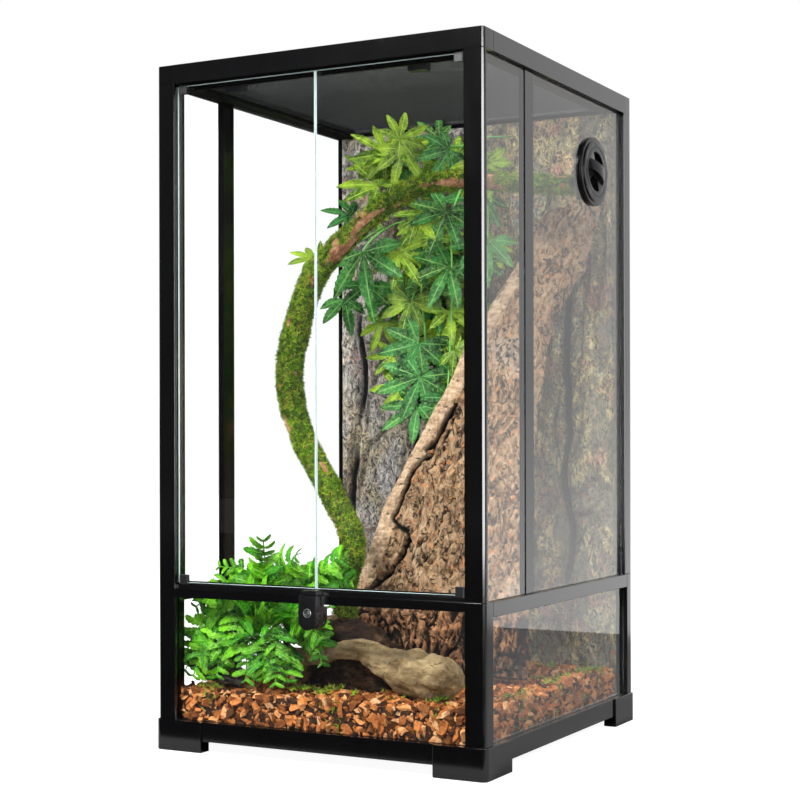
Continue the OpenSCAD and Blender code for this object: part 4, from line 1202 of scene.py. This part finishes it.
fern_lines = bpy.data.meshes.new("fern_lines")
fern_lines.from_pydata(fern_points, fern_edges, [])
layer = fern_lines.attributes.new("along", "FLOAT", "POINT")
layer.data.foreach_set("value", fern_along)
print(len(fern_fronds), "fronds")


# %% One pinna, drawn along X: a strap with a notched edge and a round tip
def pinna_source():
    points, faces, ribs = [], [], []
    stations = 8
    for i in range(stations + 1):
        t = i / stations
        half = 0.175 * min((t + 0.03) * 6, 1.0) ** 0.6 * min((1.0 - t) * 3.6 + 0.12, 1.0) ** 0.6
        half *= 1.0 + 0.17 * (1 if i % 2 else -1)
        for s in (-1, 0, 1):
            points.append((t, s * half, 0.09 * math.sin(t * 3.1) + abs(s) * half * 0.4 - 0.22 * t * t))
            ribs.append(1 - abs(s))
    for i in range(stations):
        for j in range(2):
            a = i * 3 + j
            faces.append((a, a + 1, a + 4, a + 3))
    mesh = thick("fern_pinna_source", points, faces, {"rib": ribs}, 0.03, fern_green)
    return bpy.data.objects.new("fern_pinna_source", mesh)


fern_green = leaf_finish(
    "fern_leaf_plastic", young=((0.035, 0.22, 0.003), (0.15, 0.5, 0.008)),
    old=((0.004, 0.055, 0.002), (0.03, 0.25, 0.005)), pale=((0.34, 0.72, 0.05), (0.1, 0.4, 0.02)),
    gloss=0.22)
pinna = pinna_source()
print("pinna:", len(pinna.data.polygons), "faces")


# %% Fern tree
def fern_tree():
    g, a = geometry_tree("fern_fronds", {"Gap": "Float", "Longest": "Float", "Rib": "Float",
                                         "Seed": "Int"})
    curve = g.node("GeometryNodeMeshToCurve", {}, {"Mesh": a["Geometry"]})
    rib_line = g.node("GeometryNodeCurvePrimitiveCircle", {}, {"Radius": a["Rib"], "Resolution": 5},
                      "Curve")
    rib = g.node("GeometryNodeCurveToMesh", {}, {"Curve": curve, "Profile Curve": rib_line,
                                                 "Fill Caps": True})
    spaced = g.node("GeometryNodeResampleCurve", {"mode": "LENGTH"},
                    {"Curve": curve, "Length": a["Gap"]})
    spots = g.node("GeometryNodeCurveToPoints", {"mode": "EVALUATED"}, {"Curve": spaced}, None)
    tangent = Wire(g, spots.outputs["Tangent"])
    ahead = g.node("FunctionNodeAlignRotationToVector", {"axis": "Y"}, {"Vector": tangent})
    flat = g.node("FunctionNodeAlignRotationToVector", {"axis": "Z", "pivot_axis": "Y"},
                  {"Rotation": ahead, "Vector": (0.35, -0.75, 0.5)})
    along = number_on(g, "along")
    body = ((along * 0.8 + 0.14) * 3.14159).maths("SINE") ** 0.6
    leafy = along > 0.3
    join = g.node("GeometryNodeJoinGeometry", output=None)
    for number, angle in enumerate((0.52, math.pi - 0.52)):
        shake = g.chance((-0.5, -0.45, angle - 0.28), (0.5, 0.45, angle + 0.28), a["Seed"] + number)
        size = g.chance(0.65, 1.2, a["Seed"] + 3 + number)
        laid = g.node("GeometryNodeInstanceOnPoints", {},
                      {"Points": Wire(g, spots.outputs["Points"]),
                       "Instance": g.node("GeometryNodeObjectInfo", {}, {"Object": pinna}, "Geometry"),
                       "Rotation": g.turned(flat, shake), "Scale": size * body * leafy * a["Longest"]})
        g.tree.links.new(toned(g, laid, a["Seed"] + 6 + number).socket, join.inputs[0])
    g.tree.links.new(rib.socket, join.inputs[0])
    return finish_tree(g, Wire(g, join.outputs[0]), fern_green)


fern_mesh = grow(fern_tree(), fern_lines, "fern_fronds", Gap=9.4 * MM, Longest=32 * MM,
                 Rib=0.9 * MM, Seed=4)
show("fern_fronds", fern_mesh, None, "cabinet", "fern_leaf", "fern_plant")

# %% [markdown]
# ## Driftwood
#
# The root is a hard, smooth piece of weathered wood that arches over a gap. A tube is swept along the
# CAD route with the CAD radii, and noise swells it into a thick round end on the right.

# %% Driftwood root
ROOT_MIDDLE, ROOT_REACH = (-22, -100, 74), (90, 37, 86)
drift_points = [(-119, -146, 88, 9), (-104, -148, 100, 11), (-86, -149, 110, 12), (-62, -149, 116, 11),
                (-30, -149, 121, 10), (-6, -148, 127, 10), (18, -148, 129, 12), (40, -149, 123, 15),
                (62, -149, 113, 19), (92, -149, 106, 24), (122, -149, 102, 27), (144, -149, 98, 23),
                (157, -149, 95, 12)]
drift_route = spline(in_metres(drift_points), 9)


def drift_reach(i, angle, radius):
    c, s = math.cos(angle), math.sin(angle)
    knot = rough(i * 0.11, c * 0.9, s * 0.9, 4)
    ridge = 1 - abs(noise.noise(Vector((i * 0.045, c * 1.9 + 3, s * 1.9)))) * 2
    return radius * (1 + 0.3 * knot + 0.12 * ridge)


points, faces = tube(rings(drift_route, 40, drift_reach))
drift_mesh = solid("driftwood_root", points, faces)
print("driftwood:", len(faces), "faces")

# %% [markdown]
# Behind the arch the wood goes on as a bulb. It is half a ball, squeezed to the CAD body's size and
# swollen by noise, and a number stored on it marks painted shade: low in front under the arch, and on
# the right where the slab shades it. The finish is grey-brown weathered wood with fine cracks along the
# grain.

# %% Driftwood hollow and finish
DOME_RINGS, DOME_SIDES, DOME_FRONT = 24, 72, -137


def root_dome():
    """The root's back behind the arch, and how much painted shade each point takes."""
    rows, hollow = [], []
    for i in range(DOME_RINGS + 1):
        rise = i / DOME_RINGS * math.pi / 2 * 0.98
        row = []
        for k in range(DOME_SIDES):
            turn = 2 * math.pi * k / DOME_SIDES
            c, s = math.cos(turn) * math.cos(rise), math.sin(turn) * math.cos(rise)
            swell = 1 + 0.22 * rough(c * 1.7, s * 1.7, math.sin(rise) * 1.7 + 4, 4)
            x, y, z = (m + r * v * swell
                       for m, r, v in zip(ROOT_MIDDLE, ROOT_REACH, (c, s, math.sin(rise))))
            row.append((x * MM, max(y, DOME_FRONT) * MM, z * MM))
            # painted shade: dark on the right, where the slab shades the bulb, and low in front under
            # the arch
            top = soft(x, -60, -38)
            hollow.append(max(top, (1 - soft(z, 112, 132)) * (1 - soft(y, -118, -104))))
        rows.append(row)
    points, faces = tube(rows)
    return solid("driftwood_hollow", points, faces, {"hollow": hollow})


def weathered_wood():
    f = Finish("weathered_driftwood")
    along = f.stretched(0.35, 1, 1)
    fibre = f.noise(150.0, 4.0, 0.65, 0.4, along)
    cloud = f.noise(17.0, 4.0, 0.6)
    smoke = f.step(f.noise(26.0, 4.0, 0.6, 0.8), 0.54, 0.68)
    crack = f.worms(30.0, 0.016, 1.2, f.stretched(0.7, 1, 1.2)) * f.step(cloud, 0.48, 0.56)
    colour = f.ramp(cloud * 0.6 + fibre * 0.4, (0.36, (0.07, 0.042, 0.018)), (0.46, (0.2, 0.14, 0.068)),
                    (0.55, (0.34, 0.25, 0.13)), (0.66, (0.48, 0.38, 0.22)))
    colour = f.mix(smoke * 0.6, colour, (0.15, 0.12, 0.085))
    colour = f.mix(crack * 0.85, colour, (0.04, 0.025, 0.012))
    # near-black colours: painted shade for the marked parts of the bulb
    deep = f.ramp(fibre * 0.5 + cloud * 0.5, (0.4, (0.003, 0.0016, 0.001)), (0.5, (0.02, 0.01, 0.005)),
                  (0.62, (0.09, 0.05, 0.025)))
    colour = f.mix(f.stored("hollow"), colour, deep)
    return f.shade(Base_Color=colour, Roughness=0.62 + fibre * 0.2, Specular_IOR_Level=0.08,
                   Normal=f.bump(fibre * 0.6 + cloud * 0.8 - crack, 0.003, 0.9))


wood = weathered_wood()
show("driftwood_root", drift_mesh, wood, "cabinet", "driftwood", "driftwood")
show("driftwood_hollow", root_dome(), wood, "cabinet", "driftwood")

# %% [markdown]
# A glossy shard of bark lies under the fern, painted nearly black as painted shade under the fern. It is
# a flattened tube that thins to a pale broken rim at its left end.

# %% Bark shard under the fern
SHARD_SIDES = 20
shard_route = spline(in_metres([(-214, -193, 110, 2), (-204, -192, 110, 9), (-184, -189, 104, 15),
                                (-160, -183, 95, 17), (-136, -176, 86, 12)]), 8)


def shard_reach(i, angle, radius):
    c, s = math.cos(angle), math.sin(angle)
    return radius * math.hypot(c, 0.3 * s) * (1 + 0.2 * rough(i * 0.3, c * 2, s * 2, 3))


def bark_in_shade():
    f = Finish("dark_wet_bark")
    grain = f.noise(180.0, 4.0, 0.65, 0.4)
    # nearly black: painted shade under the fern
    colour = f.ramp(grain, (0.4, (0.004, 0.0035, 0.003)), (0.62, (0.045, 0.034, 0.026)))
    return f.shade(Base_Color=f.mix(f.stored("rim"), colour, (0.5, 0.48, 0.42)),
                   Roughness=grain * 0.3 + 0.2, Normal=f.bump(grain, 0.003, 0.9))


points, faces = tube(rings(shard_route, SHARD_SIDES, shard_reach))
rim = [1 - soft(i, 0.5, 4) for i in range(len(shard_route)) for k in range(SHARD_SIDES)]
show("bark_shard", solid("bark_shard", points, faces, {"rim": rim}), bark_in_shade(), "cabinet",
     "bark_chips")

# %% [markdown]
# ## Bark bedding
#
# Loose bark chips fill the bottom. Only the outer chips can be seen, so a plain core carries a skin
# of real chips. Geometry Nodes scatter a dozen chip shapes over the core's top and sides, each lying
# nearly flat on what it touches, and a few sprigs of moss lie between them.

# %% Core of the bedding
bed_low, bed_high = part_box("substrate")
BED_IN, BED_DOWN, BED_WAVE = 7 * MM, 7 * MM, 4 * MM
BED_COLS, BED_LINES = 60, 56
bed_x, bed_y0, bed_y1 = bed_high.x - BED_IN, bed_low.y + BED_IN, bed_high.y - 1 * MM
rows = []
for i in range(BED_LINES + 1):
    y = bed_y0 + (bed_y1 - bed_y0) * i / BED_LINES
    row = []
    for j in range(BED_COLS + 1):
        x = -bed_x + 2 * bed_x * j / BED_COLS
        row.append((x, y, bed_high.z - BED_DOWN + BED_WAVE * rough(x * 16, y * 16, 1.0, 3)))
    rows.append(row)
floor_z = bed_low.z
core_mesh = backed("bark_bedding_core", rows, [lambda p: (p[0], p[1], floor_z)],
                   {"cover": [1.0] * ((BED_COLS + 1) * (BED_LINES + 1))})
print("bedding from", round(bed_low.z, 4), "to", round(bed_high.z, 4))

# %% [markdown]
# Fir bark is red-brown, and each chip has its own shade, from nearly black to pale splinter. The core
# under the chips is painted nearly black, as painted shade in the gaps between them.

# %% Bark chip finishes
def bark_red(name, chips):
    f = Finish(name)
    tone = f.stored("tone") if chips else f.noise(90.0, 2.0)
    grain = f.noise(260.0, 4.0, 0.6, 0.3)
    cloud = f.noise(60.0, 3.0)
    colour = f.ramp(tone * 0.8 + cloud * 0.2, (0.14, (0.05, 0.018, 0.005)), (0.3, (0.2, 0.065, 0.016)),
                    (0.46, (0.38, 0.125, 0.03)), (0.62, (0.54, 0.19, 0.05)), (0.8, (0.62, 0.28, 0.1)),
                    (0.95, (0.7, 0.46, 0.25)))
    colour = f.mix(f.step(grain, 0.48, 0.66) * 0.55, colour, (0.08, 0.028, 0.011))
    # the core: nearly black, painted shade for the gaps between chips
    if not chips:
        colour = f.ramp(grain, (0.35, (0.006, 0.003, 0.002)), (0.65, (0.06, 0.026, 0.012)))
    return f.shade(Base_Color=colour, Roughness=0.8, Specular_IOR_Level=0.12,
                   Normal=f.bump(grain, 0.002, 1.0))


show("bark_bedding_core", core_mesh, bark_red("bark_bedding_fine", False), "cabinet", "bark_chips",
     "substrate")


# %% Chip shapes
def chip(seed):
    """One broken flake of bark: an uneven plate with sheared sides, about 1 unit long."""
    rnd = random.Random(seed)
    corners, wide, deep = rnd.randint(5, 7), rnd.uniform(0.3, 0.75), rnd.uniform(0.1, 0.3)
    bm = bmesh.new()
    layers = []
    for level in (-0.5, 0.5):
        ring = []
        shrink, dx, dy = rnd.uniform(0.7, 1.0), rnd.uniform(-0.08, 0.08), rnd.uniform(-0.08, 0.08)
        for k in range(corners):
            turn = 2 * math.pi * (k + 0.35 * math.sin(seed * 3 + k * 2.1)) / corners
            x, y = 0.5 * math.cos(turn) * shrink + dx, 0.5 * wide * math.sin(turn) * shrink + dy
            ring.append(bm.verts.new((x, y, level * deep + rnd.uniform(-0.05, 0.05) + 0.12 * x * x)))
        layers.append(ring)
    bm.faces.new(layers[0][::-1])
    bm.faces.new(layers[1])
    for k in range(corners):
        m = (k + 1) % corners
        bm.faces.new((layers[0][k], layers[0][m], layers[1][m], layers[1][k]))
    bmesh.ops.triangulate(bm, faces=bm.faces)
    mesh = keep(bm, bpy.data.meshes.new(f"chip_{seed}"))
    return bpy.data.objects.new(f"chip_{seed}", mesh)


chip_box = bpy.data.collections.new("chip_shapes")
for seed in range(12):
    chip_box.objects.link(chip(seed))


# %% Tree that scatters the chips
def chip_tree(material):
    g, a = geometry_tree("bark_chips", {"Density": "Float", "Seed": "Int", "Smallest": "Float",
                                        "Largest": "Float", "Tilt": "Float", "Lowest": "Float"})
    height = g.node("ShaderNodeSeparateXYZ", {}, {"Vector": g.node("GeometryNodeInputPosition")}, "Z")
    spots, facing = spots_on(g, a["Geometry"], a["Density"], a["Seed"])
    shake = g.chance((-1.0, -1.0, 0.0), (1.0, 1.0, 1.0), a["Seed"] + 1)
    most = g.node("ShaderNodeCombineXYZ", {}, {"X": a["Tilt"], "Y": a["Tilt"], "Z": 6.2832})
    lean = g.node("ShaderNodeVectorMath", {"operation": "MULTIPLY"}, {0: shake, 1: most})
    large = g.chance(0.0, 1.0, a["Seed"] + 2) ** 2.2
    shapes = g.node("GeometryNodeCollectionInfo", {}, {"Collection": chip_box, "Separate Children": True,
                                                       "Reset Children": True}, "Instances")
    laid = g.node("GeometryNodeInstanceOnPoints", {},
                  {"Points": spots, "Instance": shapes, "Pick Instance": True,
                   "Rotation": g.turned(facing, lean), "Selection": height > a["Lowest"],
                   "Scale": a["Smallest"] + (a["Largest"] - a["Smallest"]) * large})
    return finish_tree(g, toned(g, laid, a["Seed"] + 3), material)


chips = grow(chip_tree(bark_red("bark_chip", True)), core_mesh.copy(), "bark_chips", Density=31000.0,
             Seed=8, Smallest=5 * MM, Largest=27 * MM, Tilt=0.7, Lowest=0.035)
show("bark_chips", chips, None, "cabinet", "bark_chips")

# %% Sprigs of moss between the chips
MOSS_RISE = 7.5 * MM
moss_bed = core_mesh.copy()
for v, grown in zip(moss_bed.vertices, moss_bed.attributes["cover"].data):
    patch = rough(v.co.x * 26, v.co.y * 26, 3.0, 3)
    grown.value *= soft(patch, 0.16, 0.4)
    v.co.z += MOSS_RISE
bed_moss = grow(scatter_tree("bedding_moss_scatter", tuft, moss, "cover", 0.7), moss_bed,
                "bedding_moss", Density=34000.0, Seed=21, Smallest=0.7, Largest=1.5)
show("bedding_moss", bed_moss, None, "cabinet", "moss")

# %% [markdown]
# ## Camera, light and ground
#
# The camera repeats the photograph's viewpoint: it stands low, to the right of the doors, and its
# lens is shifted a little as the photograph was cropped. A pale floor catches the shadow, a white
# world lights the rest, and large soft lamps stand in front and to the right.

# %% Camera
camera_data = bpy.data.cameras.new("camera")
camera_data.lens, camera_data.sensor_width = 73.34, 36.0
camera_data.shift_x, camera_data.shift_y = -0.0881, 0.0396
camera = place("camera", camera_data)
camera.location = (1.04962, -1.88788, 0.39448)
camera.rotation_euler = [math.radians(v) for v in (90.116, 0.139, 26.80)]
bpy.context.scene.camera = camera
bpy.context.scene.view_settings.view_transform = "Standard"
print("camera at", tuple(round(v, 3) for v in camera.location))


# %% [markdown]
# A product photograph has a white room and a white floor, and yet black plastic stays black in it,
# because dark cards keep white out of the plastic's mirror. The world does the same by asking what
# kind of ray looks at it: the eye sees white, also through a pane, and gloss sees a dim grey.

# %% World: white to the eye and through glass, pale to surfaces, dim to gloss
def looks(g):
    """What kind of ray this is: the camera's, through glass, off gloss, and straight through glass.

    The last is a look that has only passed through glass, with no reflection on its way."""
    path = g.node("ShaderNodeLightPath", output=None)
    camera_ray, glass_ray, gloss, shiny, dull = (Wire(g, path.outputs[name]) for name in (
        "Is Camera Ray", "Is Transmission Ray", "Is Glossy Ray", "Glossy Depth", "Diffuse Depth"))
    return camera_ray, glass_ray, gloss, glass_ray * (shiny < 0.5) * (dull < 0.5)


def make_world():
    world = bpy.data.worlds.new("studio")
    world.use_nodes = True
    g = Graph(world.node_tree)
    back = world.node_tree.nodes["Background"]
    camera_ray, glass_ray, gloss, clear = looks(g)
    seen = camera_ray + (1 - camera_ray) * clear * 1.35
    rest = (1 - camera_ray) * (1 - clear) * (1 - glass_ray * 0.9)
    g.feed(back.inputs["Strength"], seen + rest * (0.36 - gloss * 0.33))
    back.inputs["Color"].default_value = (1, 1, 1, 1)
    return world


bpy.context.scene.world = make_world()


# %% Floor
def greys(g, value):
    """A grey that is this value in red, green and blue."""
    return g.node("ShaderNodeCombineColor", {}, {"Red": value, "Green": value, "Blue": value})


def flat(name, corners, material):
    mesh = bpy.data.meshes.new(name)
    mesh.from_pydata(corners, [], [tuple(range(len(corners)))])
    mesh.materials.append(material)
    made = place(name, mesh)
    return made


def floor_paint():
    f = Finish("pale_floor")
    camera_ray, glass_ray, _, clear = looks(f)
    grey = f.mix(glass_ray * (1 - clear), (0.32, 0.32, 0.32), (0.02, 0.02, 0.02))
    return f.shade(Base_Color=grey, Roughness=0.9, Specular_IOR_Level=0.0, Emission_Strength=1.0,
                   Emission_Color=greys(f, camera_ray * 0.95 + clear * 1.3))


FLOOR_REACH, FLOOR_Z = 7, -0.0008
flat("floor", [(x * FLOOR_REACH, y * FLOOR_REACH, FLOOR_Z)
               for x, y in ((-1, -1), (1, -1), (1, 1), (-1, 1))], floor_paint())

# %% [markdown]
# Large cards stand where the panes and the plastic mirror them. They are seen only in gloss: a white
# wall behind the cabinet and one on its left, a bright narrow card that lights the edges on the right,
# and a dark card on the floor in front.

# %% Reflectors that only gloss sees
def glow(name, strength, fall=None):
    """A glowing paint. fall is (low, high, loss): its light drops by loss between two heights."""
    material = bpy.data.materials.new(name)
    material.use_nodes = True
    tree = material.node_tree
    tree.nodes.remove(tree.nodes["Principled BSDF"])
    g = Graph(tree)
    shine = g.node("ShaderNodeEmission", {}, {"Color": (1.0, 1.0, 1.0), "Strength": strength})
    if fall:
        low, high, loss = fall
        spot = g.node("ShaderNodeTexCoord", {}, {}, "Object")
        z = g.node("ShaderNodeSeparateXYZ", {}, {"Vector": spot}, "Z")
        dim = 1 - g.node("ShaderNodeMapRange", {}, {"Value": z, "From Min": low, "From Max": high},
                         "Result") * loss
        g.feed(shine.socket.node.inputs["Color"], greys(g, dim))
    g.feed(tree.nodes["Material Output"].inputs["Surface"], shine)
    return material


def reflector(name, corners, strength, fall=None):
    """A card that only gloss sees."""
    card = flat(name, corners, glow(name, strength, fall))
    card.visible_camera = card.visible_diffuse = card.visible_transmission = False
    card.visible_shadow = False
    return card


def standing(start, end, low, high):
    """Corners of an upright card over the floor line from start to end."""
    return [(*start, low), (*end, low), (*end, high), (*start, high)]


reflector("far_wall", standing((-0.7, 1.1), (3.6, 1.1), 0.003, 3.6), 1.9, (0.1, 0.5, 0.36))
reflector("left_wall", standing((-2.4, -0.4), (-1.2, 1.6), 0.45, 3.0), 0.7)
reflector("dark_card", [(x, y, 0.0005) for x, y in ((-3, -4), (2, -4), (2, -0.3), (-3, -0.3))], 0.0)
reflector("edge_card", standing((1.3, -2.5), (3.0, -0.4), 0.05, 1.42), 20.0)
print("reflectors stand behind and to the right")

# %% [markdown]
# Four soft lamps do the lighting. Only the key light is let into the gloss, where it gives the plastic
# and the leaves their highlights. The others would only grey the panes.

# %% Lamps
def lamp(name, spot, target, size, power, shine=False):
    """A soft rectangular lamp. shine lets gloss see it."""
    data = bpy.data.lights.new(name, "AREA")
    data.shape, data.size, data.size_y, data.energy = "RECTANGLE", size[0], size[1], power
    made = place(name, data)
    made.location = spot
    made.rotation_euler = (Vector(target) - Vector(spot)).to_track_quat("-Z", "Y").to_euler()
    made.visible_glossy, made.visible_transmission, made.visible_camera = shine, False, False


lamp("key_light", (-0.5, -1.9, 2.0), (0, 0, 0.42), (0.9, 0.8), 115, True)
lamp("left_light", (-1.7, -0.7, 1.0), (0.05, 0.2, 0.45), (0.5, 0.7), 26)
lamp("side_light", (2.2, -0.7, 1.5), (0, 0, 0.42), (0.9, 0.9), 30)
lamp("top_light", (0.1, -0.1, 2.3), (0, 0, 0.4), (0.8, 0.8), 50)
print("lamps placed")
